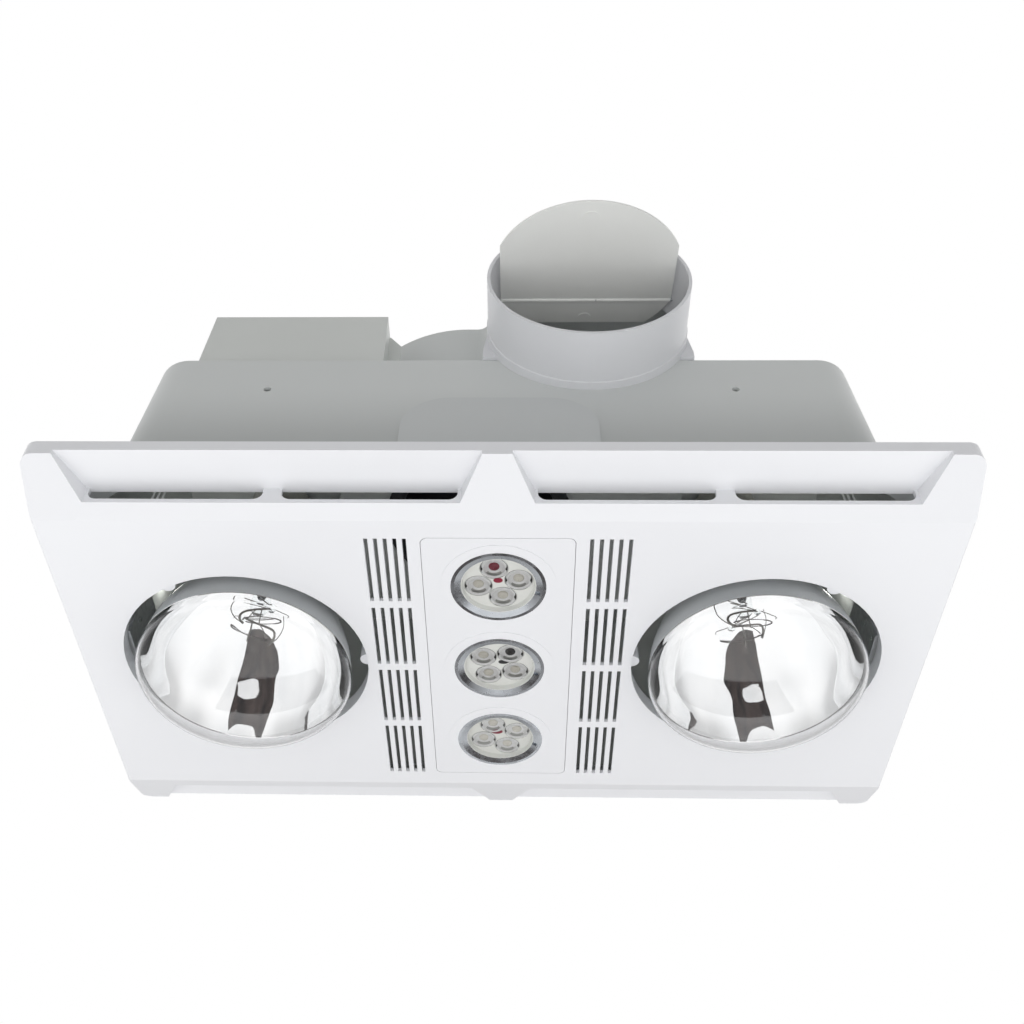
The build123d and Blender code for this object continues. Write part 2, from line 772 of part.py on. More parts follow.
# Flared inlet ring under the scroll's floor
with BuildPart() as inlet_ring:
    with BuildSketch(Plane.XZ.offset(-fan_y)):
        with BuildLine():
            flare = CenterArc(
                (fan_x + inlet_radius + inlet_flare, scroll_base - inlet_flange_wall + inlet_flare),
                inlet_flare,
                start_angle=180,
                arc_size=90,
            )
            Polyline(
                flare @ 1,
                (fan_x + inlet_radius + inlet_flange, scroll_base - inlet_flange_wall),
                (fan_x + inlet_radius + inlet_flange, scroll_base),
                (fan_x + inlet_radius + inlet_wall, scroll_base),
                (fan_x + inlet_radius + inlet_wall, scroll_base + inlet_rise),
                (fan_x + inlet_radius, scroll_base + inlet_rise),
                flare @ 0,
            )
        make_face()
    revolve(axis=Axis((fan_x, fan_y, 0), (0, 0, 1)))
inlet_ring.part.label = "inlet_ring"
export_step(inlet_ring.part, "parts/inlet_ring.step")

# Impeller: a hub and disc that carry forward-curved blades between two end rings
with BuildSketch() as blade:
    with BuildLine():
        near = ThreePointArc(
            (impeller_inner + blade_inset, 0),
            ((impeller_inner + impeller_radius) / 2, -blade_bow),
            (impeller_radius - blade_inset, 0),
        )
        far = ThreePointArc(
            (impeller_inner + blade_inset, blade_wall),
            ((impeller_inner + impeller_radius) / 2, blade_wall - blade_bow),
            (impeller_radius - blade_inset, blade_wall),
        )
        Line(near @ 0, far @ 0)
        Line(near @ 1, far @ 1)
    make_face()

with BuildPart() as impeller:
    with BuildSketch(fan_at(impeller_base)):
        with PolarLocations(0, blade_count):
            add(blade.sketch)
    extrude(amount=impeller_height)
    with BuildSketch(fan_at(impeller_base), fan_at(impeller_base + impeller_height - impeller_ring_wall)):
        Circle(impeller_radius)
        Circle(impeller_inner, mode=Mode.SUBTRACT)
    extrude(amount=impeller_ring_wall)
    with BuildSketch(fan_at(impeller_base + impeller_disc_rise)):
        Circle(impeller_radius)
    extrude(amount=impeller_disc_wall)
    with BuildSketch(fan_at(impeller_base + impeller_disc_rise - hub_height / 2)):
        Circle(hub_radius)
    extrude(amount=hub_height)
    with BuildSketch(fan_at(impeller_base)):
        Circle(shaft_radius)
    extrude(amount=impeller_height, mode=Mode.SUBTRACT)
impeller.part.label = "impeller"
export_step(impeller.part, "parts/impeller.step")

with BuildPart() as motor_shaft:
    with BuildSketch(fan_at(shaft_base)):
        Circle(shaft_radius)
    extrude(amount=shaft_length)
motor_shaft.part.label = "motor_shaft"
export_step(motor_shaft.part, "parts/motor_shaft.step")

with BuildPart() as rotor_core:
    with BuildSketch(fan_at(core_base)):
        Circle(rotor_radius)
        Circle(shaft_radius, mode=Mode.SUBTRACT)
    extrude(amount=core_height)
rotor_core.part.label = "rotor_core"
export_step(rotor_core.part, "parts/rotor_core.step")

# Motor case: a deep cup whose flange rests on the lid, and a cap with a flange of its own
motor_split = scroll_top + motor_wall

with BuildPart() as motor_cup:
    with BuildSketch(fan_at(motor_base)):
        Circle(motor_radius)
    extrude(amount=scroll_top - motor_base)
    with BuildSketch(fan_at(scroll_top)):
        Circle(motor_flange_radius)
        with PolarLocations(motor_screw_radius, motor_screw_count, start_angle=45):
            Circle(screw_radius, mode=Mode.SUBTRACT)
    extrude(amount=motor_wall)
    with BuildSketch(fan_at(motor_base + motor_wall)):
        Circle(motor_radius - motor_wall)
    extrude(amount=motor_top - motor_base, mode=Mode.SUBTRACT)
    with BuildSketch(fan_at(motor_base + motor_wall)):
        Circle(bearing_radius + bearing_seat_wall)
    extrude(amount=bearing_height)
    with BuildSketch(fan_at(motor_base + motor_wall)):
        Circle(bearing_radius)
    extrude(amount=bearing_height, mode=Mode.SUBTRACT)
    with BuildSketch(fan_at(motor_base)):
        Circle(shaft_radius + shaft_clearance)
    extrude(amount=motor_wall, mode=Mode.SUBTRACT)
motor_cup.part.label = "motor_cup"
export_step(motor_cup.part, "parts/motor_cup.step")

with BuildPart() as motor_cap:
    with BuildSketch(fan_at(motor_split)):
        Circle(motor_radius)
    extrude(amount=motor_top - motor_split)
    fillet(motor_cap.faces().sort_by(Axis.Z)[-1].edges(), motor_wall)
    with BuildSketch(fan_at(motor_split)):
        Circle(motor_flange_radius)
        with PolarLocations(motor_screw_radius, motor_screw_count, start_angle=45):
            Circle(screw_radius, mode=Mode.SUBTRACT)
    extrude(amount=motor_wall)
    with BuildSketch(fan_at(motor_split)):
        Circle(motor_radius - motor_wall)
        Circle(bearing_radius + bearing_seat_wall, mode=Mode.SUBTRACT)
    extrude(amount=motor_top - motor_wall - motor_split, mode=Mode.SUBTRACT)
    with BuildSketch(fan_at(motor_split)):
        Circle(bearing_radius + bearing_seat_wall)
    extrude(amount=motor_top - motor_wall - motor_split - bearing_height, mode=Mode.SUBTRACT)
    with BuildSketch(fan_at(motor_top - motor_wall)):
        Circle(bearing_radius)
    extrude(amount=-bearing_height, mode=Mode.SUBTRACT)
motor_cap.part.label = "motor_cap"
export_step(motor_cap.part, "parts/motor_cap.step")

with BuildPart() as motor_bearings:
    for height in (motor_base + motor_wall, motor_top - motor_wall - bearing_height):
        with BuildSketch(fan_at(height)):
            Circle(bearing_radius)
            Circle(shaft_radius + running_gap, mode=Mode.SUBTRACT)
        extrude(amount=bearing_height)
motor_bearings.part.label = "motor_bearings"
export_step(motor_bearings.part, "parts/motor_bearings.step")

with BuildPart() as motor_screws:
    with BuildSketch(fan_at(motor_split + motor_wall)):
        with PolarLocations(motor_screw_radius, motor_screw_count, start_angle=45):
            Circle(screw_head_radius)
    extrude(amount=screw_head_height)
    with BuildSketch(fan_at(motor_split + motor_wall)):
        with PolarLocations(motor_screw_radius, motor_screw_count, start_angle=45):
            Circle(screw_radius)
    extrude(amount=-2 * motor_wall)
motor_screws.part.label = "motor_screws"
export_step(motor_screws.part, "parts/motor_screws.step")

# Stator: a slotted core, and a winding whose bars run through the slots
with BuildPart() as stator_core:
    with BuildSketch(fan_at(core_base)):
        Circle(motor_radius - motor_wall)
        Circle(rotor_radius + air_gap, mode=Mode.SUBTRACT)
        with PolarLocations(coil_circle, coil_count):
            Circle(coil_radius + coil_slot_gap, mode=Mode.SUBTRACT)
    extrude(amount=core_height)
stator_core.part.label = "stator_core"
export_step(stator_core.part, "parts/stator_core.step")

with BuildPart() as stator_coils:
    with BuildSketch(fan_at(core_base)):
        with PolarLocations(coil_circle, coil_count):
            Circle(coil_radius)
    extrude(amount=core_height)
    with BuildSketch(fan_at(core_base), fan_at(core_base + core_height + coil_ring_height)):
        Circle(coil_circle + coil_ring_wall / 2)
        Circle(coil_circle - coil_ring_wall / 2, mode=Mode.SUBTRACT)
    extrude(amount=-coil_ring_height)
stator_coils.part.label = "stator_coils"
export_step(stator_coils.part, "parts/stator_coils.step")

# Duct spigot: a tube with a square flange against the scroll's mouth, and a shoulder that stops the duct
mouth_plane = Plane.XZ.offset(-scroll_mouth_y)
spigot_axis = Axis((spigot_x, 0, spigot_z), (0, 1, 0))
damper_y = spigot_mouth_y + damper_inset
pin_z = spigot_z + damper_rise
bore_half_chord = sqrt(spigot_bore ** 2 - damper_rise ** 2)
pin_half_length = sqrt(spigot_radius ** 2 - damper_rise ** 2) - spigot_wall / 2
closing_y = damper_y + closing_wall / 2

with BuildPart() as spigot:
    with BuildSketch(Plane(origin=(spigot_x, scroll_mouth_y, spigot_z), x_dir=(0, -1, 0), z_dir=(1, 0, 0))):
        with BuildLine():
            Polyline(
                (0, 0),
                (spigot_length, 0),
                (spigot_length, spigot_radius),
                (mouth_inset, spigot_radius),
                (mouth_inset - spigot_shoulder, spigot_radius + spigot_shoulder),
                (0, spigot_radius + spigot_shoulder),
                close=True,
            )
        make_face()
    revolve(axis=spigot_axis)
    with BuildSketch(mouth_plane):
        with Locations((spigot_x, (roof_z + spigot_flange_top) / 2)):
            Rectangle(2 * spigot_flange_half, spigot_flange_top - roof_z)
        with Locations((spigot_x, roof_z + spigot_tab_height / 2)):
            Rectangle(2 * (spigot_flange_half + spigot_tab_reach), spigot_tab_height)
        with Locations((spigot_x, roof_z + spigot_tab_height)):
            Trapezoid(
                2 * (spigot_flange_half + spigot_tab_reach),
                spigot_gusset,
                degrees(atan2(spigot_gusset, spigot_tab_reach)),
                align=(Align.CENTER, Align.MIN),
            )
    extrude(amount=spigot_flange_wall)
    with BuildSketch(mouth_plane):
        with Locations((spigot_x, roof_z + spigot_foot_height / 2)):
            Rectangle(2 * (spigot_flange_half + spigot_tab_reach), spigot_foot_height)
    extrude(amount=spigot_foot_wall)
    with BuildSketch(mouth_plane):
        with Locations((spigot_x, spigot_z)):
            Circle(spigot_bore)
    extrude(amount=spigot_length, mode=Mode.SUBTRACT)
    # A wall above the damper and a shelf behind it close the top of the bore down to the scroll's lid
    for plane, height, reach in (
        (Plane.XZ.offset(-closing_y), spigot_radius, closing_wall),
        (mouth_plane, closing_wall, scroll_mouth_y - closing_y),
    ):
        with BuildSketch(plane):
            with Locations((spigot_x, spigot_z)):
                Circle(spigot_bore + spigot_wall / 2)
            with Locations((spigot_x, lid_base)):
                Rectangle(2 * spigot_radius, height, align=(Align.CENTER, Align.MIN), mode=Mode.INTERSECT)
        extrude(amount=reach)
    with BuildSketch(mouth_plane):
        with Locations((spigot_x, lid_screw_z)):
            with GridLocations(lid_screw_spacing, 0, 2, 1):
                Circle(screw_radius)
    extrude(amount=spigot_screw_depth, mode=Mode.SUBTRACT)
    # Lip at the bottom of the bore that stops the closed flap, and blind holes for the damper's pin
    with BuildSketch(Plane.XZ.offset(-damper_y - damper_plate_wall / 2 - damper_stop_gap)):
        with Locations((spigot_x, spigot_z)):
            Circle(spigot_radius)
            Circle(spigot_bore - damper_stop_reach, mode=Mode.SUBTRACT)
            Rectangle(
                2 * damper_stop_half,
                2 * spigot_radius,
                align=(Align.CENTER, Align.MAX),
                mode=Mode.INTERSECT,
            )
    extrude(amount=-damper_stop_wall)
    with BuildSketch(Plane.YZ.offset(spigot_x)):
        with Locations((damper_y, pin_z)):
            Circle(damper_pin_radius)
    extrude(amount=pin_half_length, both=True, mode=Mode.SUBTRACT)
    add(tub_outside.part, mode=Mode.SUBTRACT)
spigot.part.label = "spigot"
export_step(spigot.part, "parts/spigot.step")

with BuildPart() as damper_pin:
    with BuildSketch(Plane.YZ.offset(spigot_x)):
        with Locations((damper_y, pin_z)):
            Circle(damper_pin_radius)
    extrude(amount=pin_half_length, both=True)
damper_pin.part.label = "damper_pin"
export_step(damper_pin.part, "parts/damper_pin.step")

# Damper flap: local x runs along the pin, local y out along the flap, local z to its underside
flap_plane = Plane(
    origin=(spigot_x, damper_y, pin_z),
    x_dir=(1, 0, 0),
    z_dir=(0, cos(radians(damper_open_angle)), -sin(radians(damper_open_angle))),
)
pin_plane = Plane(origin=(spigot_x, damper_y, pin_z), z_dir=(1, 0, 0))
damper_radius = spigot_bore - damper_rim_gap
damper_tail = lid_base - pin_z - damper_tail_gap
knuckle_half_length = bore_half_chord - damper_knuckle_end_gap

with BuildPart() as damper_flap:
    with BuildSketch(flap_plane):
        with Locations((0, damper_rise)):
            Circle(damper_radius)
        with Locations((0, -damper_tail)):
            Rectangle(
                2 * (bore_half_chord - damper_side_gap),
                damper_tail + damper_rise + damper_radius,
                align=(Align.CENTER, Align.MIN),
                mode=Mode.INTERSECT,
            )
    extrude(amount=damper_plate_wall / 2, both=True)
    for reach, radius in damper_gates:
        with BuildSketch(flap_plane):
            with Locations((0, reach)):
                Circle(radius)
        extrude(amount=damper_plate_wall / 2 + damper_gate_proud)
    for start, end in (
        (-knuckle_half_length, damper_split_x - damper_split_gap / 2),
        (damper_split_x + damper_split_gap / 2, knuckle_half_length),
    ):
        with BuildSketch(pin_plane.offset(start)):
            Circle(damper_knuckle_radius)
        extrude(amount=end - start)
    with BuildSketch(pin_plane):
        Circle(damper_pin_radius + running_gap)
    extrude(amount=spigot_radius, both=True, mode=Mode.SUBTRACT)
damper_flap.part.label = "damper_flap"
export_step(damper_flap.part, "parts/damper_flap.step")


def junction_points(inset):
    """Plan of the junction cover, with its far corner bevelled clear of the scroll."""
    left = junction_left_x + inset
    right = junction_right_x - inset
    front = junction_front_y + inset
    back = junction_back_y - inset
    bevel = junction_bevel - inset * (2 - 2 ** 0.5)
    return [(left, front), (right, front), (right, back - bevel), (right - bevel, back), (left, back)]


# Junction cover on the roof
with BuildPart() as junction_cover:
    with BuildSketch(Plane.XY.offset(roof_z)):
        with BuildLine():
            Polyline(*junction_points(0), close=True)
        make_face()
    extrude(amount=junction_height, taper=junction_draft)
    fillet(junction_cover.faces().sort_by(Axis.Z)[-1].edges(), junction_wall)
    with BuildSketch(Plane.XZ.offset(-junction_ear_y)):
        with BuildLine():
            Polyline(
                (junction_right_x - 2 * junction_wall, junction_ear_top),
                (junction_right_x - junction_ear_inset, junction_ear_top),
                (junction_ear_x, junction_ear_low),
                (junction_ear_x, roof_z),
                (junction_right_x - 2 * junction_wall, roof_z),
                close=True,
            )
        make_face()
    extrude(amount=junction_ear_wall / 2, both=True)
    with BuildSketch(Plane.XY.offset(roof_z)):
        with Locations(foot_spots):
            Rectangle(junction_foot, junction_foot)
            Circle(screw_radius, mode=Mode.SUBTRACT)
    extrude(amount=junction_foot_wall)
    with BuildSketch(Plane.XY.offset(roof_z)):
        with BuildLine():
            Polyline(*junction_points(junction_wall), close=True)
        make_face()
    extrude(amount=junction_height - junction_wall, taper=junction_draft, mode=Mode.SUBTRACT)
    with BuildSketch(Plane.XZ.offset(-junction_back_y + 2 * junction_wall)):
        with Locations((gland_x, gland_z)):
            Circle(gland_shank)
    extrude(amount=-4 * junction_wall, mode=Mode.SUBTRACT)
junction_cover.part.label = "junction_cover"
export_step(junction_cover.part, "parts/junction_cover.step")

# Cable gland through the cover's far wall, with a nut inside
gland_inner = junction_wall + gland_washer - junction_back_y

with BuildPart() as cable_gland:
    with BuildSketch(Plane.XZ.offset(-junction_back_y)):
        with Locations((gland_x, gland_z)):
            Circle(gland_radius)
    extrude(amount=-gland_length)
    with BuildSketch(Plane.XZ.offset(gland_inner)):
        with Locations((gland_x, gland_z)):
            Circle(gland_shank)
    extrude(amount=-junction_wall - gland_washer)
    with BuildSketch(Plane.XZ.offset(gland_inner)):
        with Locations((gland_x, gland_z)):
            RegularPolygon(gland_radius, 6)
    extrude(amount=gland_nut)
    with BuildSketch(Plane.XZ):
        with Locations((gland_x, gland_z)):
            Circle(gland_bore)
    extrude(amount=-2 * junction_back_y, mode=Mode.SUBTRACT)
cable_gland.part.label = "cable_gland"
export_step(cable_gland.part, "parts/cable_gland.step")

# Terminal block and fan capacitor under the cover
terminal_pocket_y = terminal_web + terminal_width

with BuildPart() as terminal_block:
    with BuildSketch(Plane.XY.offset(roof_z)):
        with Locations((terminal_x, terminal_y)):
            Rectangle(terminal_length, terminal_width)
    extrude(amount=terminal_height)
    with BuildSketch(Plane.XY.offset(roof_z + terminal_floor)):
        with Locations((terminal_x, terminal_y)):
            with GridLocations(terminal_pitch, terminal_pocket_y, terminal_count, 2):
                Rectangle(terminal_pocket, terminal_width)
    extrude(amount=terminal_height, mode=Mode.SUBTRACT)
    with BuildSketch(Plane.XY.offset(roof_z + terminal_height)):
        with Locations((terminal_x, terminal_y)):
            with GridLocations(terminal_pitch, 0, terminal_count, 1):
                Circle(terminal_screw_radius)
    extrude(amount=-terminal_hole_depth, mode=Mode.SUBTRACT)
terminal_block.part.label = "terminal_block"
export_step(terminal_block.part, "parts/terminal_block.step")

with BuildPart() as terminal_screws:
    with BuildSketch(Plane.XY.offset(roof_z + terminal_height - terminal_hole_depth)):
        with Locations((terminal_x, terminal_y)):
            with GridLocations(terminal_pitch, 0, terminal_count, 1):
                Circle(terminal_screw_radius)
    extrude(amount=terminal_screw_height)
terminal_screws.part.label = "terminal_screws"
export_step(terminal_screws.part, "parts/terminal_screws.step")

with BuildPart() as capacitor:
    with BuildSketch(Plane.XY.offset(roof_z)):
        with Locations((capacitor_x, capacitor_y)):
            RectangleRounded(capacitor_width, capacitor_length, capacitor_corner)
    extrude(amount=capacitor_height)
capacitor.part.label = "capacitor"
export_step(capacitor.part, "parts/capacitor.step")


def bulb_profile(inset):
    """Half-section of the lamp's glass, moved in by a wall, as a face that reaches the lamp's axis."""
    shoulder = [(lamp_neck_radius, -lamp_neck_top), (lamp_neck_radius, -lamp_neck_base)] + bulb_shoulder
    with BuildSketch(mode=Mode.PRIVATE) as profile:
        with BuildLine():
            neck = Polyline(*[(radius - inset, height) for radius, height in shoulder])
            Spline(
                neck @ 1,
                *[(radius - inset, height) for radius, height in bulb_flank],
                (lamp_radius - inset, -lamp_equator_drop),
                tangents=(bulb_shoulder_slope, (0, -1)),
            )
            EllipticalCenterArc(
                (0, -lamp_equator_drop),
                lamp_radius - inset,
                lamp_dome - inset,
                start_angle=270,
                arc_size=90,
            )
            Polyline((0, inset - lamp_equator_drop - lamp_dome), (0, -lamp_neck_top), neck @ 0)
        make_face()
    return profile.sketch


# Heat lamps and their holders. The lamps' heights are measured from the tips of their caps.
for side, x in lamp_places.items():
    tip_plane = Plane(origin=(x, lamp_y, lamp_tip_z), x_dir=(1, 0, 0), z_dir=(0, -1, 0))
    bulb_axis = Axis((x, lamp_y, 0), (0, 0, 1))
    with BuildPart() as lamp_glass:
        with BuildSketch(tip_plane):
            add(bulb_profile(0))
        revolve(axis=bulb_axis)
        with BuildSketch(tip_plane):
            add(bulb_profile(lamp_glass_wall))
        revolve(axis=bulb_axis, mode=Mode.SUBTRACT)
    lamp_glass.part.label = f"lamp_glass_{side}"
    export_step(lamp_glass.part, f"parts/lamp_glass_{side}.step")

    # Screw cap, with its insulator cone and contact tip
    with BuildPart() as lamp_cap:
        with BuildSketch(tip_plane):
            with BuildLine():
                Polyline(
                    (lamp_neck_radius, -lamp_neck_base),
                    (lamp_cap_radius, -lamp_neck_base),
                    (lamp_cap_radius, -lamp_cap_top),
                    (2 * lamp_tip_radius, -lamp_cone_base),
                    (lamp_tip_radius, -lamp_cone_top),
                    (lamp_tip_radius, 0),
                    (0, 0),
                    (0, -lamp_cap_floor),
                    (lamp_neck_radius, -lamp_cap_floor),
                    close=True,
                )
            make_face()
        revolve(axis=bulb_axis)
    lamp_cap.part.label = f"lamp_cap_{side}"
    export_step(lamp_cap.part, f"parts/lamp_cap_{side}.step")

    # Glass stem, sealed in the neck
    with BuildPart() as lamp_stem:
        with BuildSketch(lamp_at(x, lamp_tip_z - lamp_neck_top)):
            Circle(lamp_neck_radius - lamp_glass_wall)
        extrude(amount=-lamp_stem_seal)
        with BuildSketch(lamp_at(x, lamp_tip_z - lamp_neck_top)):
            Circle(lamp_stem_radius)
        extrude(amount=lamp_neck_top - lamp_stem_base)
    lamp_stem.part.label = f"lamp_stem_{side}"
    export_step(lamp_stem.part, f"parts/lamp_stem_{side}.step")

    # Ring filament on two support wires
    with BuildPart() as lamp_filament:
        with BuildSketch(lamp_at(x, lamp_tip_z - filament_drop - filament_wire)):
            Circle(filament_radius + filament_wire)
            Circle(filament_radius - filament_wire, mode=Mode.SUBTRACT)
        extrude(amount=2 * filament_wire)
        for way in (-1, 1):
            lead_start = Vector(x + way * filament_lead_offset, lamp_y, lamp_tip_z - lamp_stem_base)
            lead_end = Vector(x + way * filament_radius, lamp_y, lamp_tip_z - filament_drop)
            with BuildSketch(Plane(origin=lead_end, z_dir=lead_start - lead_end)):
                Circle(filament_lead)
            extrude(amount=(lead_start - lead_end).length)
        with BuildSketch(lamp_at(x, lamp_tip_z - lamp_stem_base)):
            Circle(lamp_stem_radius)
        extrude(amount=filament_radius, mode=Mode.SUBTRACT)
    lamp_filament.part.label = f"lamp_filament_{side}"
    export_step(lamp_filament.part, f"parts/lamp_filament_{side}.step")

    # Porcelain holder, brass shell, centre contact and steel bracket
    with BuildPart() as lamp_holder:
        with BuildSketch(lamp_at(x, holder_base)):
            Circle(holder_radius)
        extrude(amount=holder_height)
        fillet(lamp_holder.faces().sort_by(Axis.Z)[0].edges(), holder_round)
        with BuildSketch(lamp_at(x, holder_base)):
            Circle(socket_radius + socket_wall)
        extrude(amount=lamp_tip_z + contact_wall - holder_base, mode=Mode.SUBTRACT)
        with BuildSketch(lamp_at(x, holder_top)):
            with GridLocations(0, 2 * holder_screw_y, 1, 2):
                Circle(screw_radius)
        extrude(amount=bracket_wall - screw_length, mode=Mode.SUBTRACT)
    lamp_holder.part.label = f"lamp_holder_{side}"
    export_step(lamp_holder.part, f"parts/lamp_holder_{side}.step")

    with BuildPart() as socket_shell:
        with BuildSketch(lamp_at(x, holder_base + socket_inset)):
            Circle(socket_radius + socket_wall)
            Circle(socket_radius, mode=Mode.SUBTRACT)
        extrude(amount=socket_height)
    socket_shell.part.label = f"socket_shell_{side}"
    export_step(socket_shell.part, f"parts/socket_shell_{side}.step")

    with BuildPart() as socket_contact:
        with BuildSketch(lamp_at(x, lamp_tip_z)):
            Circle(contact_radius)
        extrude(amount=contact_wall)
    socket_contact.part.label = f"socket_contact_{side}"
    export_step(socket_contact.part, f"parts/socket_contact_{side}.step")

    with BuildPart() as lamp_bracket:
        with BuildSketch(Plane.YZ.offset(x)):
            with BuildLine():
                hat = Polyline(
                    (lamp_y - bracket_length / 2, roof_under_z - bracket_wall / 2),
                    (lamp_y - bracket_hat / 2, roof_under_z - bracket_wall / 2),
                    (lamp_y - bracket_hat / 2, holder_top + bracket_wall / 2),
                    (lamp_y + bracket_hat / 2, holder_top + bracket_wall / 2),
                    (lamp_y + bracket_hat / 2, roof_under_z - bracket_wall / 2),
                    (lamp_y + bracket_length / 2, roof_under_z - bracket_wall / 2),
                )
                offset(hat, amount=bracket_wall / 2, kind=Kind.INTERSECTION, side=Side.BOTH)
            make_face()
        extrude(amount=bracket_width / 2, both=True)
        with BuildSketch(lamp_at(x, holder_top)):
            with GridLocations(0, 2 * bracket_screw_y, 1, 2):
                Circle(screw_radius)
            with GridLocations(0, 2 * holder_screw_y, 1, 2):
                Circle(screw_radius)
        extrude(amount=roof_z - holder_top, mode=Mode.SUBTRACT)
    lamp_bracket.part.label = f"lamp_bracket_{side}"
    export_step(lamp_bracket.part, f"parts/lamp_bracket_{side}.step")

# Screws, driven from above into the roof, brackets and lamp holders
with BuildPart() as bracket_screws:
    with BuildSketch(Plane.XY.offset(roof_z)):
        with Locations(roof_screw_spots):
            Circle(screw_head_radius)
    extrude(amount=screw_head_height)
    with BuildSketch(Plane.XY.offset(roof_z)):
        with Locations(roof_screw_spots):
            Circle(screw_radius)
    extrude(amount=-screw_length)
bracket_screws.part.label = "bracket_screws"
export_step(bracket_screws.part, "parts/bracket_screws.step")

with BuildPart() as holder_screws:
    with BuildSketch(Plane.XY.offset(holder_top + bracket_wall)):
        with Locations(holder_screw_spots):
            Circle(screw_head_radius)
    extrude(amount=screw_head_height)
    with BuildSketch(Plane.XY.offset(holder_top + bracket_wall)):
        with Locations(holder_screw_spots):
            Circle(screw_radius)
    extrude(amount=-screw_length)
holder_screws.part.label = "holder_screws"
export_step(holder_screws.part, "parts/holder_screws.step")

with BuildPart() as roof_screws:
    with BuildSketch(Plane.XY.offset(roof_z + scroll_rim_wall)):
        with Locations(foot_spots + rim_spots):
            Circle(screw_head_radius)
    extrude(amount=screw_head_height)
    with BuildSketch(Plane.XY.offset(roof_z + scroll_rim_wall)):
        with Locations(foot_spots + rim_spots):
            Circle(screw_radius)
    extrude(amount=-screw_length)
roof_screws.part.label = "roof_screws"
export_step(roof_screws.part, "parts/roof_screws.step")

# Screws from behind the lid's upright into the spigot's flange
with BuildPart() as spigot_screws:
    with BuildSketch(Plane.XZ.offset(-scroll_mouth_y - scroll_wall)):
        with Locations((spigot_x, lid_screw_z)):
            with GridLocations(lid_screw_spacing, 0, 2, 1):
                Circle(screw_head_radius)
    extrude(amount=-screw_head_height)
    with BuildSketch(Plane.XZ.offset(-scroll_mouth_y - scroll_wall)):
        with Locations((spigot_x, lid_screw_z)):
            with GridLocations(lid_screw_spacing, 0, 2, 1):
                Circle(screw_radius)
    extrude(amount=scroll_wall + spigot_screw_depth)
spigot_screws.part.label = "spigot_screws"
export_step(spigot_screws.part, "parts/spigot_screws.step")
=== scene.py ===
# Looks for the bathroom ceiling heater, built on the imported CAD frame. Metres, in the CAD frame.
import math

import bpy
from mathutils import Matrix, Vector


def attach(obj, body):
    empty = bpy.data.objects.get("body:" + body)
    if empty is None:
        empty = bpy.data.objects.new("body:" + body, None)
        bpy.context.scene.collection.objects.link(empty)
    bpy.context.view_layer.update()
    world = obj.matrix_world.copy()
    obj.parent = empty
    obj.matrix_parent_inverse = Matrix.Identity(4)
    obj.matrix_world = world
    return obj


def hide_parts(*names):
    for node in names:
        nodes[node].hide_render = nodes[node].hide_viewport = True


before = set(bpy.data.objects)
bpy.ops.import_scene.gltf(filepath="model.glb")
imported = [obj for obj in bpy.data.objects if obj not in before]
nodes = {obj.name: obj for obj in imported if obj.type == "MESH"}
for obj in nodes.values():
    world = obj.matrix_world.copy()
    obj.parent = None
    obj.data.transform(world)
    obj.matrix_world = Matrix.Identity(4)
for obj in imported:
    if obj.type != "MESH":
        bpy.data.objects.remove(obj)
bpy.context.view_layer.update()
scene = bpy.context.scene


def placed(name, data):
    """An object with this data, in the scene."""
    thing = bpy.data.objects.new(name, data)
    scene.collection.objects.link(thing)
    return thing


# Camera, solved from the photograph's edges
CAMERA_PLACE = Vector((0.009532, -0.524274, -0.464153))
CAMERA_YAW = math.radians(2.47)
CAMERA_PITCH = math.radians(47.56)
CAMERA_ROLL = math.radians(2.0)
CAMERA_NEAREST = 0.01
SENSOR_WIDTH = 36.0
FOCAL_PIXELS = 1163.12
CENTRE_PIXELS = (482.23, 516.52)
IMAGE_PIXELS = 1024


def add_camera():
    ahead = Vector((
        -math.sin(CAMERA_YAW) * math.cos(CAMERA_PITCH),
        math.cos(CAMERA_YAW) * math.cos(CAMERA_PITCH),
        math.sin(CAMERA_PITCH),
    ))
    right = Vector((math.cos(CAMERA_YAW), math.sin(CAMERA_YAW), 0))
    up = right.cross(ahead)
    right_rolled = math.cos(CAMERA_ROLL) * right + math.sin(CAMERA_ROLL) * up
    up_rolled = -math.sin(CAMERA_ROLL) * right + math.cos(CAMERA_ROLL) * up
    data = bpy.data.cameras.new("camera")
    data.sensor_width = SENSOR_WIDTH
    data.sensor_fit = "HORIZONTAL"
    data.lens = FOCAL_PIXELS / IMAGE_PIXELS * SENSOR_WIDTH
    data.shift_x = (IMAGE_PIXELS / 2 - CENTRE_PIXELS[0]) / IMAGE_PIXELS
    data.shift_y = (CENTRE_PIXELS[1] - IMAGE_PIXELS / 2) / IMAGE_PIXELS
    data.clip_start = CAMERA_NEAREST
    camera = placed("camera", data)
    turn = Matrix((right_rolled, up_rolled, -ahead)).transposed().to_4x4()
    camera.matrix_world = Matrix.Translation(CAMERA_PLACE) @ turn
    scene.camera = camera


# Materials: the span that a noise's values mostly keep to, the sockets of a colour Mix node, and
# the noise scales of plastic and of metal
NOISE_SPAN = (0.3, 0.7)
MIX_FACTOR, MIX_FIRST, MIX_SECOND, MIX_RESULT = 0, 6, 7, 2
CLOUD_SCALE = 9.0
SHEEN_SCALE = 55.0
GRAIN_SCALE = 1400.0
METAL_MARKS_SCALE = 260.0
METAL_SHEEN_SCALE = 120.0


def linear(text):
    """An sRGB hex colour as linear RGBA."""
    parts = [int(text[i:i + 2], 16) / 255 for i in (1, 3, 5)]
    return tuple([
        c / 12.92 if c <= 0.04045 else ((c + 0.055) / 1.055) ** 2.4 for c in parts
    ] + [1.0])


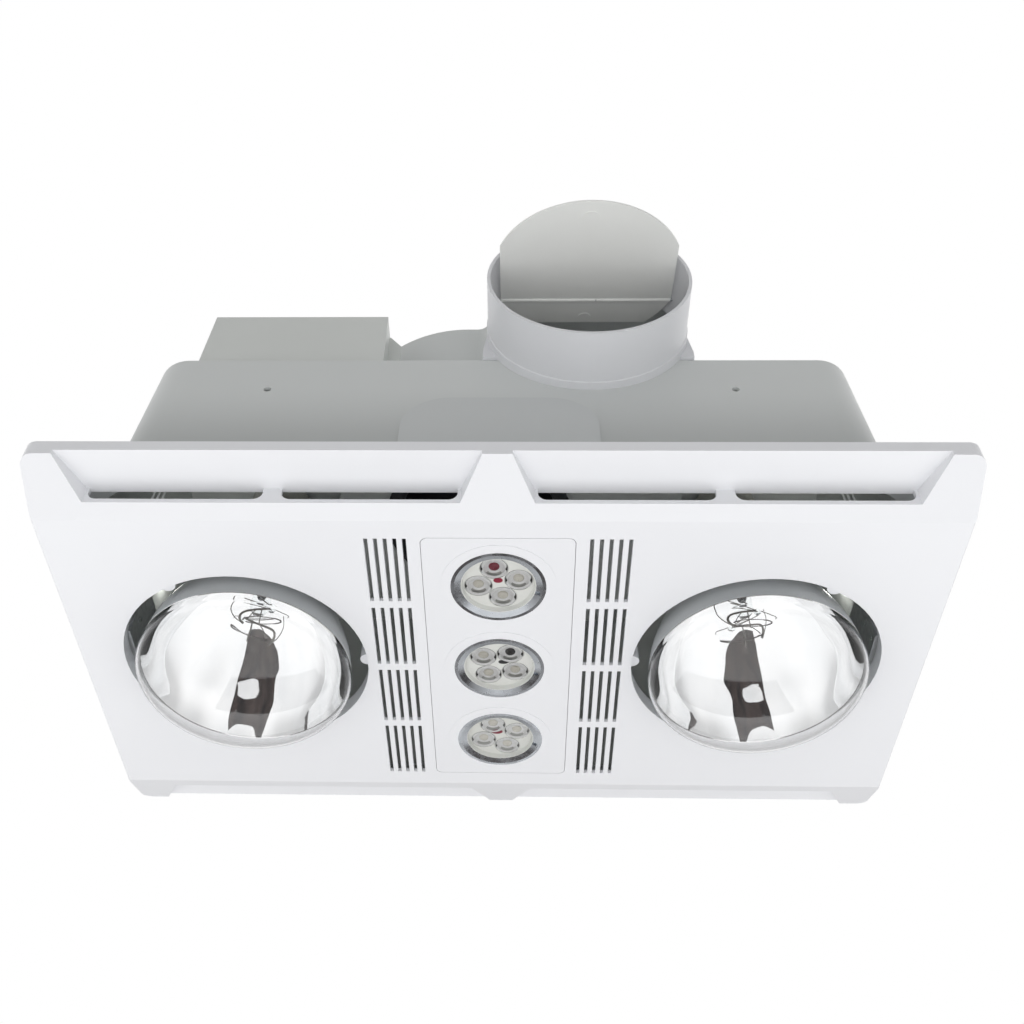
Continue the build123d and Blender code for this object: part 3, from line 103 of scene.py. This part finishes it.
def map_range(tree, value, source, target, smooth=False):
    """The value, with the span source carried over to the span target and held within it."""
    node = tree.nodes.new("ShaderNodeMapRange")
    if smooth:
        node.interpolation_type = "SMOOTHSTEP"
    for name, number in zip(("From Min", "From Max", "To Min", "To Max"), (*source, *target)):
        node.inputs[name].default_value = number
    tree.links.new(value, node.inputs["Value"])
    return node.outputs["Result"]


class Surface:
    """A node material that starts from a Principled shader and object coordinates in metres."""

    def __init__(self, name, colour, roughness, metallic=0.0):
        self.material = bpy.data.materials.new(name)
        self.material.use_nodes = True
        self.tree = self.material.node_tree
        self.shader = self.tree.nodes["Principled BSDF"]
        self.shader.inputs["Base Color"].default_value = linear(colour)
        self.shader.inputs["Roughness"].default_value = roughness
        self.shader.inputs["Metallic"].default_value = metallic
        self.place = self.tree.nodes.new("ShaderNodeTexCoord").outputs["Object"]

    def set(self, socket, value):
        self.shader.inputs[socket].default_value = value
        return self

    def stretched(self, scale):
        """Object coordinates times a scale of their own along each axis."""
        mapping = self.tree.nodes.new("ShaderNodeMapping")
        mapping.inputs["Scale"].default_value = scale
        self.tree.links.new(self.place, mapping.inputs["Vector"])
        return mapping.outputs["Vector"]

    def axes(self):
        """Object coordinates as three numbers."""
        node = self.tree.nodes.new("ShaderNodeSeparateXYZ")
        self.tree.links.new(self.place, node.inputs[0])
        return node.outputs

    def noise(self, scale, detail=3.0, source=None):
        node = self.tree.nodes.new("ShaderNodeTexNoise")
        node.inputs["Scale"].default_value = scale
        node.inputs["Detail"].default_value = detail
        self.tree.links.new(source or self.place, node.inputs["Vector"])
        return node.outputs["Fac"]

    def calc(self, operation, *values):
        """Result of a Math node, whose values are numbers or sockets."""
        node = self.tree.nodes.new("ShaderNodeMath")
        node.operation = operation
        for socket, value in zip(node.inputs, values):
            if isinstance(value, (int, float)):
                socket.default_value = value
            else:
                self.tree.links.new(value, socket)
        return node.outputs[0]

    def step(self, value, start, end):
        """0 before start and 1 past end, smooth between them; end may be the smaller one."""
        ends = (1.0, 0.0) if start > end else (0.0, 1.0)
        return map_range(self.tree, value, sorted((start, end)), ends, smooth=True)

    def blend(self, amount, first, second):
        """Mix of two colours, each a hex text or a socket."""
        node = self.tree.nodes.new("ShaderNodeMix")
        node.data_type = "RGBA"
        for number, colour in ((MIX_FIRST, first), (MIX_SECOND, second)):
            if isinstance(colour, str):
                node.inputs[number].default_value = linear(colour)
            else:
                self.tree.links.new(colour, node.inputs[number])
        self.tree.links.new(amount, node.inputs[MIX_FACTOR])
        return node.outputs[MIX_RESULT]

    def painted(self):
        """The socket that the base colour comes from."""
        return self.shader.inputs["Base Color"].links[0].from_socket

    def paint(self, colour):
        self.tree.links.new(colour, self.shader.inputs["Base Color"])
        return self

    def tone(self, value, first, second):
        amount = map_range(self.tree, value, NOISE_SPAN, (0.0, 1.0))
        return self.paint(self.blend(amount, first, second))

    def rough(self, value, low, high):
        roughness = map_range(self.tree, value, NOISE_SPAN, (low, high))
        self.tree.links.new(roughness, self.shader.inputs["Roughness"])
        return self

    def bump(self, value, distance, strength=1.0):
        node = self.tree.nodes.new("ShaderNodeBump")
        node.inputs["Distance"].default_value = distance
        node.inputs["Strength"].default_value = strength
        self.tree.links.new(value, node.inputs["Height"])
        self.tree.links.new(node.outputs["Normal"], self.shader.inputs["Normal"])
        return self


def moulded(name, light, dark, roughness, grain):
    """Injection-moulded plastic: faint cloudiness, uneven sheen and a fine eroded grain."""
    surface = Surface(name, light, roughness)
    surface.tone(surface.noise(CLOUD_SCALE, 4.0), dark, light)
    surface.rough(surface.noise(SHEEN_SCALE), roughness - 0.02, roughness + 0.03)
    surface.bump(surface.noise(GRAIN_SCALE, 2.0), grain, 0.6)
    return surface.set("IOR", 1.5)


def bare_metal(name, light, dark, roughness, stretch=(1.0, 1.0, 1.0), grain=0.00002):
    """Bare metal with fine marks drawn out along the axes that stretch makes small."""
    surface = Surface(name, light, roughness, metallic=1.0)
    marks = surface.noise(METAL_MARKS_SCALE, 4.0, surface.stretched(stretch))
    surface.tone(marks, dark, light)
    surface.rough(surface.noise(METAL_SHEEN_SCALE), roughness - 0.06, roughness + 0.08)
    surface.bump(marks, grain, 0.5)
    return surface


def clear(name, colour, roughness, refraction):
    """Clear glass or plastic with this index of refraction."""
    surface = Surface(name, colour, roughness)
    return surface.set("Transmission Weight", 1.0).set("IOR", refraction)


# Face of the housing's raised pad: half-width and height at which its round corners start, and
# the spans over which its painted light ends at their radius and sets in along Y
PAD_STRAIGHT_X = 0.028
PAD_STRAIGHT_Z = 0.052
PAD_CORNER = (0.0283, 0.0278)
PAD_FRONT = (-0.1140, -0.1150)
# Painted light: the pad's face is painted lighter than the wall around it
PAD_PAINTED_LIGHT_COLOUR = "#CFD2D2"
# Heights between which the housing's wall turns to its painted light, lighter toward the roof
WALL_PAINTED_LIGHT_FADE = (0.03, 0.095)
WALL_PAINTED_LIGHT_COLOUR = "#D8DBDA"


def housing_plastic():
    """Plastic of the housing with painted light: lighter toward the roof, and lighter on the pad's
    face.
    """
    surface = moulded("housing_grey", "#C3C6C5", "#BFC2C1", 0.42, 0.00002)
    x, y, z = surface.axes()
    outward = surface.calc("SUBTRACT", surface.calc("ABSOLUTE", x), PAD_STRAIGHT_X)
    beside = surface.calc("MAXIMUM", outward, 0.0)
    above = surface.calc("MAXIMUM", surface.calc("SUBTRACT", z, PAD_STRAIGHT_Z), 0.0)
    squares = [surface.calc("MULTIPLY", side, side) for side in (beside, above)]
    reach = surface.calc("SQRT", surface.calc("ADD", *squares))
    # Painted light on the pad's face
    painted_light_on_pad = surface.calc(
        "MULTIPLY", surface.step(reach, *PAD_CORNER), surface.step(y, *PAD_FRONT))
    # Painted light: the wall turns lighter toward the roof
    wall = surface.blend(surface.step(z, *WALL_PAINTED_LIGHT_FADE), surface.painted(), WALL_PAINTED_LIGHT_COLOUR)
    return surface.paint(surface.blend(painted_light_on_pad, wall, PAD_PAINTED_LIGHT_COLOUR))


fascia_white = moulded("fascia_white", "#F1F2F5", "#F0F1F4", 0.30, 0.000012)
panel_white = moulded("panel_white", "#F0F1F4", "#EFF0F3", 0.32, 0.000012)
housing_grey = housing_plastic()
cover_grey = moulded("cover_grey", "#DCDFDC", "#D7DAD7", 0.42, 0.00002)
duct_grey = moulded("duct_grey", "#E6E7EA", "#E1E2E5", 0.36, 0.00002)
flap_grey = moulded("flap_grey", "#F7F8F5", "#F2F3F0", 0.40, 0.00002)
dark_plastic = moulded("dark_plastic", "#303236", "#26282B", 0.45, 0.00003)
board_grey = moulded("board_grey", "#DADBD7", "#D3D4CF", 0.45, 0.00001)
zinc_steel = bare_metal("zinc_steel", "#C9CCCE", "#B2B5B8", 0.32)
core_steel = bare_metal("core_steel", "#8C9094", "#6F7377", 0.40, (0.1, 0.1, 14.0))
bezel_metal = bare_metal("bezel_metal", "#BCC0C5", "#B5B9BE", 0.24, (0.3, 0.3, 0.2), 0.000004)
sink_metal = bare_metal("sink_metal", "#B9BDC1", "#A3A7AC", 0.45)
cap_metal = bare_metal("cap_metal", "#C9CBCE", "#B1B3B7", 0.28)
brass_metal = bare_metal("brass_metal", "#D2B066", "#B7934A", 0.30)
winding_copper = bare_metal("winding_copper", "#C27B46", "#8F5127", 0.38, (0.2, 0.2, 6.0))
motor_paint = moulded("motor_paint", "#54575B", "#4A4D51", 0.38, 0.00003)
porcelain = moulded("porcelain", "#F1EFE8", "#E7E4DB", 0.16, 0.00001)
wire_dark = bare_metal("wire_dark", "#8A8782", "#5C5954", 0.35)
filament_dark = bare_metal("filament_dark", "#6F6A66", "#474341", 0.45)
solder_mask = moulded("solder_mask", "#8E2A3E", "#761F31", 0.30, 0.00001)
chip_pale = moulded("chip_pale", "#E6E3D8", "#D6D2C3", 0.12, 0.00001)
lens_milky = moulded("lens_milky", "#FBFBFB", "#F0F1F0", 0.10, 0.00002)
# Painted shadow in each lens's pocket on its +Y side
lens_painted_shadow = moulded("lens_painted_shadow", "#B4B5B1", "#9FA09B", 0.15, 0.00001)
# Painted reflection: dark marks on each lens ring at its left and right
lens_painted_reflection = moulded("lens_painted_reflection", "#4A4B48", "#2F302E", 0.25, 0.00001)
window_black = moulded("window_black", "#2A2B2C", "#1D1E1F", 0.30, 0.00001)
lens_clear = clear("lens_clear", "#FFFFFF", 0.015, 1.49)
stem_glass = clear("stem_glass", "#F7FAFA", 0.03, 1.5)
front_glass = clear("front_glass", "#FFFFFF", 0.0, 1.47)
front_glass.bump(front_glass.noise(24.0, 1.0), 0.0003, 0.3)

mirror_silver = Surface("mirror_silver", "#F4F5F6", 0.02, metallic=1.0)
mirror_silver.tone(mirror_silver.noise(20.0, 2.0), "#F1F2F3", "#FAFAFA")
mirror_silver.rough(mirror_silver.noise(40.0, 2.0), 0.015, 0.03)
mirror_silver.bump(mirror_silver.noise(30.0, 1.0), 0.0009, 0.6)
silvered_back = Surface("silvered_back", "#E6E9EC", 0.35)
silvered_back.tone(silvered_back.noise(22.0), "#E3E7EA", "#EEF1F3")
silvered_back.rough(silvered_back.noise(40.0), 0.28, 0.42)
silvered_back.bump(silvered_back.noise(300.0, 2.0), 0.00001, 0.4)
card_dark = Surface("card_dark", "#2B2A2C", 0.7)
card_dark.tone(card_dark.noise(7.0), "#262426", "#5F524E")
card_dark.rough(card_dark.noise(5.0, 2.0), 0.6, 0.8)
card_dark.bump(card_dark.noise(200.0, 2.0), 0.0002, 0.3)

# What each CAD node wears, by its name or by how its name starts; the others are zinc_steel
WEARS = {
    "fascia": fascia_white, "light_panel": panel_white, "housing": housing_grey,
    "scroll_case": housing_grey, "scroll_lid": housing_grey, "junction_cover": cover_grey,
    "spigot": duct_grey, "damper_flap": flap_grey,
    "inlet_ring": dark_plastic, "impeller": dark_plastic, "capacitor": dark_plastic,
    "cable_gland": dark_plastic, "rotor_core": core_steel, "stator_core": core_steel,
    "stator_coils": winding_copper, "motor_cup": motor_paint, "motor_cap": motor_paint,
    "terminal_block": porcelain, "terminal_screws": brass_metal,
}
WEARS_BY_START = (
    ("led_bezel", bezel_metal), ("led_board", board_grey), ("led_lenses", lens_clear),
    ("led_heatsink", sink_metal), ("lamp_glass", front_glass), ("lamp_cap", cap_metal),
    ("lamp_stem", stem_glass), ("lamp_filament", filament_dark), ("lamp_holder", porcelain),
    ("socket", brass_metal),
)


def dress_nodes():
    for name, node in nodes.items():
        surface = WEARS.get(name)
        for start, candidate in WEARS_BY_START:
            if surface is None and name.startswith(start):
                surface = candidate
        surface = surface or zinc_steel
        for place in node.material_slots:
            place.material = surface.material


# Pieces
SHARP_ANGLE = math.radians(40)
# Least radius of a turned line where it meets its axis
AXIS_GAP = 0.0001
BULB_STEPS = 96
SMALL_STEPS = 48


def declared(name, data, body):
    """An object that rides on a body."""
    piece = placed(name, data)
    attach(piece, body)
    return piece


def new_piece(name, net, surface, body, smooth=True):
    """A piece from its net: a pair of vertices and faces."""
    vertices, faces = net
    mesh = bpy.data.meshes.new(name)
    mesh.from_pydata(vertices, [], faces)
    mesh.update()
    mesh.materials.append(surface.material)
    if smooth:
        mesh.shade_smooth()
        mesh.set_sharp_from_angle(angle=SHARP_ANGLE)
    return declared(name, mesh, body)


def around(centre, radius, angle):
    return centre[0] + radius * math.cos(angle), centre[1] + radius * math.sin(angle)


def turn_angles(steps):
    return [2 * math.pi * k / steps for k in range(steps)]


def lathe(profile, centre, steps=BULB_STEPS, closed=True):
    """Vertices and faces of a profile of (radius, z) points turned about a vertical axis."""
    vertices = [
        (*around(centre, radius, angle), z)
        for radius, z in profile for angle in turn_angles(steps)
    ]
    faces = []
    rows = len(profile)
    for row in range(rows if closed else rows - 1):
        after = (row + 1) % rows
        for k in range(steps):
            follow = (k + 1) % steps
            faces.append((row * steps + k, after * steps + k,
                          after * steps + follow, row * steps + follow))
    return vertices, faces


def wire(name, points, radius, surface, body):
    """A round wire along a smooth curve through the points."""
    data = bpy.data.curves.new(name, "CURVE")
    data.dimensions = "3D"
    data.bevel_depth = radius
    data.bevel_resolution = 3
    data.resolution_u = 6
    data.use_fill_caps = True
    spline = data.splines.new("NURBS")
    spline.points.add(len(points) - 1)
    for point, place in zip(spline.points, points):
        point.co = (*place, 1.0)
    spline.order_u = 3
    spline.use_endpoint_u = True
    data.materials.append(surface.material)
    return declared(name, data, body)


# Heat lamps: each bulb's line is (radius, z) from its neck to the equator, its widest part
LAMP_X = 0.148
LAMP_Y = -0.0036
BULB_RADIUS = 0.0625
EQUATOR = -0.030
BULB = (
    (0.0119, 0.092), (0.0119, 0.080), (0.0142, 0.076), (0.0170, 0.070), (0.0200, 0.062),
    (0.0270, 0.048), (0.0460, 0.018), (0.0580, -0.008), (BULB_RADIUS, EQUATOR),
)
BULB_POINTS_PER_PART = 6
DOME_HEIGHT = 0.0275
DOME_STEPS = 28
GLASS_WALL = 0.0012
# Rows of the bulb's line that are silvered, the height of the silvering's edge toward -Y and
# toward +Y, and the radius that the bulb loses there per metre of height
SILVER_ROWS = 47
SILVER_NEAR = -0.0240
SILVER_FAR = -0.0297
EDGE_SLOPE = 0.1

# Stem's line, the bead on its end, and the coil
STEM = (
    (0.0105, 0.091), (0.0104, 0.088), (0.0062, 0.080), (0.0046, 0.068), (0.0043, 0.046),
    (0.0046, 0.040), (0.0036, 0.034), (0.0022, 0.030), (AXIS_GAP, 0.0285),
)
BEAD_RADIUS = 0.0023
BEAD_PLACE = (0.008, 0.0, 0.0224)
BEAD_ROWS = 10
BEAD_STEPS = 24
COIL_TURNS = 90
COIL_POINTS_PER_TURN = 6
COIL_START_DEGREES = 190
COIL_SWEEP_DEGREES = 330
COIL_REACH = 0.0115
COIL_RADIUS = 0.0004
COIL_PLACE = (0.0035, 0.0120)
COIL_SQUEEZE = 0.75
COIL_TILT = 0.55
COIL_WIRE = 0.00016
# Each lead as its radius and the places along it from the lamp's axis
LEADS = (
    (0.0008, ((0.0075, 0.0, 0.0235), (0.0030, 0.0, 0.0232), (-0.0030, 0.0, 0.0222),
              (-0.0092, 0.0, 0.0200), (-0.0112, 0.0, 0.0160), (-0.0102, 0.0, 0.0118),
              (-0.0078, 0.0, 0.0096))),
    (0.00035, ((-0.0170, 0.0, 0.0320), (-0.0182, 0.0, 0.0260), (-0.0168, 0.0, 0.0190),
               (-0.0120, 0.0, 0.0120), (-0.0078, 0.0, 0.0096))),
    (0.00035, ((0.0022, 0.0, 0.0240), (0.0016, 0.0, 0.0180), (0.0022, 0.0, 0.0080))),
    (0.0003, ((-0.0020, 0.0, 0.0215), (-0.0050, 0.001, 0.0180), (-0.0062, 0.002, 0.0140))),
    (0.0003, ((0.0100, 0.0, 0.0232), (0.0160, 0.001, 0.0205), (0.0200, 0.002, 0.0190),
              (0.0185, 0.002, 0.0175))),
    (0.0003, ((0.0080, 0.0, 0.0225), (0.0020, 0.001, 0.0268), (-0.0070, 0.002, 0.0300))),
    (0.0003, ((0.0060, 0.0, 0.0230), (-0.0010, -0.001, 0.0258), (-0.0100, -0.002, 0.0285))),
    (0.0004, ((0.0, 0.0, 0.0300), (0.0040, 0.0, 0.0262), (0.0075, 0.0, 0.0235))),
)


def rounded_line(points, per):
    """Points on a smooth line through the given ones."""
    line = []
    for i in range(len(points) - 1):
        a = points[max(i - 1, 0)]
        b = points[i]
        c = points[i + 1]
        d = points[min(i + 2, len(points) - 1)]
        for k in range(per):
            t = k / per
            line.append(tuple(
                0.5 * (2 * b[j] + (c[j] - a[j]) * t
                       + (2 * a[j] - 5 * b[j] + 4 * c[j] - d[j]) * t * t
                       + (3 * b[j] - a[j] - 3 * c[j] + d[j]) * t ** 3)
                for j in (0, 1)))
    line.append(points[-1])
    return line


def bulb_line(inset):
    return [(radius - inset, z) for radius, z in rounded_line(BULB, BULB_POINTS_PER_PART)]


def dome_line(inset):
    """Front of the bulb from the equator to its tip."""
    angles = [math.pi / 2 * k / DOME_STEPS for k in range(DOME_STEPS)]
    return [
        ((BULB_RADIUS - inset) * math.cos(a), EQUATOR - (DOME_HEIGHT - inset) * math.sin(a))
        for a in angles
    ] + [(AXIS_GAP, EQUATOR - DOME_HEIGHT + inset)]


def tilt_row(net, row, centre, inset):
    """Set one row of a turned bulb to the silvering's edge, which hangs lower toward +Y."""
    for k, angle in enumerate(turn_angles(BULB_STEPS)):
        low = 0.5 + 0.5 * math.sin(angle)
        z = SILVER_NEAR + (SILVER_FAR - SILVER_NEAR) * low
        radius = BULB_RADIUS - EDGE_SLOPE * (z - EQUATOR) - inset
        net[0][row * BULB_STEPS + k] = (*around(centre, radius, angle), z)


def add_bulb(side, centre, body):
    """Silvered skin and mirror above the silvering's edge, and clear glass below it."""
    last = SILVER_ROWS - 1
    outer = bulb_line(0.0)
    inner = bulb_line(GLASS_WALL)
    clear_outer = [outer[last]] + dome_line(0.0)
    clear_inner = [inner[last]] + dome_line(GLASS_WALL)
    skin_net = lathe(outer[:SILVER_ROWS], centre, closed=False)
    mirror_net = lathe(inner[:SILVER_ROWS], centre, closed=False)
    front_net = lathe(clear_outer + clear_inner[::-1], centre)
    tilt_row(skin_net, last, centre, 0.0)
    tilt_row(mirror_net, last, centre, GLASS_WALL)
    tilt_row(front_net, 0, centre, 0.0)
    tilt_row(front_net, len(clear_outer) + len(clear_inner) - 1, centre, GLASS_WALL)
    for name, net, surface in (
        ("bulb_back", skin_net, silvered_back),
        ("bulb_mirror", mirror_net, mirror_silver),
        ("bulb_front", front_net, front_glass),
    ):
        piece = new_piece(f"{name}_{side}", net, surface, body)
        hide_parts(f"lamp_glass_{side}")


def add_stem(side, centre, body):
    """Stem with a pinched end, and the bead that holds the leads."""
    bead_line = [
        (AXIS_GAP + BEAD_RADIUS * math.sin(a), BEAD_PLACE[2] + BEAD_RADIUS * math.cos(a))
        for a in [math.pi * k / BEAD_ROWS for k in range(BEAD_ROWS + 1)]
    ]
    bead_centre = (centre[0] + BEAD_PLACE[0], centre[1] + BEAD_PLACE[1])
    for name, net in (
        ("stem", lathe(STEM, centre, SMALL_STEPS, closed=False)),
        ("bead", lathe(bead_line, bead_centre, BEAD_STEPS, closed=False)),
    ):
        piece = new_piece(f"{name}_{side}", net, stem_glass, body)
        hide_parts(f"lamp_stem_{side}")


def coil_points(centre):
    """Points along the filament: a fine coil bent into a tilted and flattened ring."""
    points = []
    count = COIL_TURNS * COIL_POINTS_PER_TURN
    for k in range(count + 1):
        t = k / count
        angle = math.radians(COIL_START_DEGREES + COIL_SWEEP_DEGREES * t)
        swirl = 2 * math.pi * COIL_TURNS * t
        reach = COIL_REACH + COIL_RADIUS * math.cos(swirl)
        across = reach * math.cos(angle)
        along = COIL_SQUEEZE * reach * math.sin(angle)
        points.append((
            centre[0] + COIL_PLACE[0] + across,
            centre[1] + along,
            COIL_PLACE[1] + COIL_TILT * along + COIL_RADIUS * math.sin(swirl),
        ))
    return points


def add_filament(side, centre, body):
    made = [wire(f"filament_{side}", coil_points(centre), COIL_WIRE, filament_dark, body)]
    for number, (thickness, points) in enumerate(LEADS):
        places = [(centre[0] + across, centre[1] + along, z) for across, along, z in points]
        made.append(wire(f"lead_{side}_{number}", places, thickness, wire_dark, body))
    for piece in made:
        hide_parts(f"lamp_filament_{side}")


def add_lamp(side, x):
    body = f"heat_lamp_{side}"
    centre = (x, LAMP_Y)
    add_bulb(side, centre, body)
    add_stem(side, centre, body)
    add_filament(side, centre, body)


# Small lamps: each lens is a shallow pocket, a ring, a dome over the chip and a clear cover
LED_PLACES = (-0.0674, 0.0008, 0.0690)
LENS_COUNT = 4
LENS_TURNS = (78.0, 34.5, 67.0)
LENS_CIRCLE = 0.0113
POCKET = (
    (0.0077, -0.01785), (0.0070, -0.0172), (0.0062, -0.0167), (0.0050, -0.0162),
    (AXIS_GAP, -0.0160),
)
COVER = (
    (0.0077, -0.01815), (AXIS_GAP, -0.01818), (AXIS_GAP, -0.01798), (0.0077, -0.01795),
)
# The pocket's faces with a painted shadow: least distance toward +Y, and greatest distance beside
# it
PAINTED_SHADOW_FROM = 0.0040
PAINTED_SHADOW_HALF_WIDTH = 0.0042
RING_RADIUS = 0.00655
RING_Z = -0.01775
RING_HALF_WIDTH = 0.0009
RING_HALF_HEIGHT = 0.00042
RING_ROWS = 10
# The ring's painted dark reflections at its left and right: their half-angle in degrees, the least
# distance from the lens's axis, and how much farther out they start per degree
PAINTED_REFLECTION_DEGREES = 20
PAINTED_REFLECTION_FROM = 0.0063
PAINTED_REFLECTION_TAPER = 0.00004
CHIP_RADIUS = 0.0030
CHIP_FOOT = -0.0161
CHIP_HEIGHT = 0.0015
CHIP_ROWS = 8
CHIP_STEPS = 32
# Chips that aren't pale, by the lamp's and the lens's number
CHIPS = {(1, 3): solder_mask, (2, 4): window_black}
# Lamp's number, place, half-axes and surface of each coloured opening in a board
WINDOWS = (
    (1, (-0.0002, -0.0694), (0.0026, 0.0020), solder_mask),
    (2, (0.0024, -0.0012), (0.0030, 0.0018), window_black),
    (3, (-0.0020, 0.0655), (0.0036, 0.0022), solder_mask),
)
WINDOW_FRONT = -0.01796
WINDOW_BACK = -0.01788
WINDOW_STEPS = 24


def mark_faces(piece, surface, centre, wanted):
    """Give the surface to the faces whose middle, measured from the centre, is wanted."""
    piece.data.materials.append(surface.material)
    for face in piece.data.polygons:
        if wanted(face.center.x - centre[0], face.center.y - centre[1]):
            face.material_index = 1


def in_painted_shadow(across, along):
    return along > PAINTED_SHADOW_FROM and abs(across) < PAINTED_SHADOW_HALF_WIDTH


def on_painted_reflection(across, along):
    aside = abs(math.degrees(math.atan2(along, abs(across))))
    return (aside < PAINTED_REFLECTION_DEGREES
            and math.hypot(across, along) > PAINTED_REFLECTION_FROM + PAINTED_REFLECTION_TAPER * aside)


def add_lens(number, index, centre):
    ring_line = [
        (RING_RADIUS + RING_HALF_WIDTH * math.cos(a), RING_Z + RING_HALF_HEIGHT * math.sin(a))
        for a in turn_angles(RING_ROWS)
    ]
    chip_line = [
        (CHIP_RADIUS * math.cos(a), CHIP_FOOT - CHIP_HEIGHT * math.sin(a))
        for a in [math.pi / 2 * k / CHIP_ROWS for k in range(CHIP_ROWS)]
    ] + [(AXIS_GAP, CHIP_FOOT - CHIP_HEIGHT)]
    chip = CHIPS.get((number, index), chip_pale)
    made = {}
    for name, net, surface in (
        ("lens_cup", lathe(POCKET, centre, SMALL_STEPS, closed=False), lens_milky),
        ("lens_ring", lathe(ring_line, centre, SMALL_STEPS), lens_milky),
        ("lens_dome", lathe(chip_line, centre, CHIP_STEPS, closed=False), chip),
        ("lens_cover", lathe(COVER, centre, SMALL_STEPS), lens_clear),
    ):
        piece = new_piece(f"{name}_{number}_{index}", net, surface, "fascia_unit")
        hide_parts(f"led_lenses_{number}")
        made[name] = piece
    # Painted shadow on the pocket's faces toward +Y
    mark_faces(made["lens_cup"], lens_painted_shadow, centre, in_painted_shadow)
    # Painted dark reflections on the ring at its left and right
    mark_faces(made["lens_ring"], lens_painted_reflection, centre, on_painted_reflection)


def add_window(number, centre, size, surface):
    """A coloured opening in the board, near its middle."""
    steps = WINDOW_STEPS
    outline = [
        (centre[0] + size[0] * math.cos(a), centre[1] + size[1] * math.sin(a))
        for a in turn_angles(steps)
    ]
    vertices = [(x, y, z) for z in (WINDOW_FRONT, WINDOW_BACK) for x, y in outline]
    faces = [tuple(range(steps))[::-1], tuple(range(steps, 2 * steps))]
    for k in range(steps):
        follow = (k + 1) % steps
        faces.append((k, follow, steps + follow, steps + k))
    new_piece(f"board_window_{number}", (vertices, faces), surface,
              "fascia_unit", smooth=False)


def add_small_lamps():
    for window in WINDOWS:
        add_window(*window)
    for number, (y, turn) in enumerate(zip(LED_PLACES, LENS_TURNS), start=1):
        for index in range(LENS_COUNT):
            angle = math.radians(turn + 360 / LENS_COUNT * index)
            add_lens(number, index + 1, around((0.0, y), LENS_CIRCLE, angle))


# Surroundings
FLOOR_HALF = 6.0
FLOOR_Z = -1.6
WHITE = (1.0, 1.0, 1.0)
# World's strength: each pair is a span of the direction's Y or Z and the strengths at its ends,
# so that it dims toward -Y, and from some way above the horizon downward
WORLD_Y = ((-0.35, 0.25), (0.52, 1.0))
WORLD_Z = ((0.08, 0.34), (0.42, 1.0))
# Dark card below and beyond the object, which the camera doesn't see and the lamps' mirrors do
CARD = ((-0.26, 0.20, -0.50), (0.28, 0.20, -0.50), (0.46, 0.60, -0.50), (-0.44, 0.60, -0.50))
# Weak fill for the light that the real housing's inside bounces about
FILL_X = 0.208
FILL_Z = 0.045
FILL_ENERGY = 0.012
FILL_COLOUR = (1.0, 1.0, 0.93)
FILL_RADIUS = 0.004


def add_world():
    world = bpy.data.worlds.new("studio")
    scene.world = world
    world.use_nodes = True
    tree = world.node_tree
    back = tree.nodes["Background"]
    place = tree.nodes.new("ShaderNodeTexCoord").outputs["Generated"]
    split = tree.nodes.new("ShaderNodeSeparateXYZ")
    tree.links.new(place, split.inputs[0])
    product = tree.nodes.new("ShaderNodeMath")
    product.operation = "MULTIPLY"
    for number, (axis, spans) in enumerate((("Y", WORLD_Y), ("Z", WORLD_Z))):
        strength = map_range(tree, split.outputs[axis], *spans, smooth=True)
        tree.links.new(strength, product.inputs[number])
    tree.links.new(product.outputs[0], back.inputs["Strength"])
    back.inputs["Color"].default_value = (*WHITE, 1.0)


def add_sheet(name, corners, surface):
    """A flat four-cornered thing that belongs to the studio."""
    mesh = bpy.data.meshes.new(name)
    mesh.from_pydata(corners, [], [(0, 1, 2, 3)])
    mesh.materials.append(surface.material)
    sheet = placed(name, mesh)
    return sheet


def add_light(name, place, target, size, energy):
    """A soft white area light that shines from its place toward the target."""
    data = bpy.data.lights.new(name, "AREA")
    data.shape = "RECTANGLE"
    data.size, data.size_y = size
    data.energy = energy
    data.color = WHITE
    light = placed(name, data)
    light.location = place
    aim = Vector(target) - Vector(place)
    light.rotation_euler = aim.to_track_quat("-Z", "Y").to_euler()


def add_fill(name, x):
    data = bpy.data.lights.new(name, "POINT")
    data.energy = FILL_ENERGY
    data.color = FILL_COLOUR
    data.shadow_soft_size = FILL_RADIUS
    placed(name, data).location = (x, LAMP_Y, FILL_Z)


def add_surroundings():
    scene.view_settings.view_transform = "Standard"
    add_world()
    floor_corners = [
        (x * FLOOR_HALF, y * FLOOR_HALF, FLOOR_Z) for x, y in ((-1, -1), (1, -1), (1, 1), (-1, 1))
    ]
    floor_paint = moulded("floor_paint", "#F2F2F2", "#EFEFEF", 0.6, 0.0001)
    add_sheet("floor", floor_corners, floor_paint)
    add_light("light_on_floor", (0.0, 0.0, -1.0), (0.0, 0.0, -2.0), (5.0, 5.0), 58.0)
    add_sheet("dark_card", CARD, card_dark).visible_camera = False
    for name, x in (("fill_left", -FILL_X), ("fill_middle", 0.0), ("fill_right", FILL_X)):
        add_fill(name, x)
    add_light("light_front_left", (-1.4, -1.5, 0.3), (0, 0, 0.1), (1.0, 1.4), 1.5)
    add_light("light_above", (0.5, 0.4, 1.8), (0, 0, 0.1), (1.6, 1.6), 3.0)


add_camera()
dress_nodes()
add_lamp("left", -LAMP_X)
add_lamp("right", LAMP_X)
add_small_lamps()
add_surroundings()
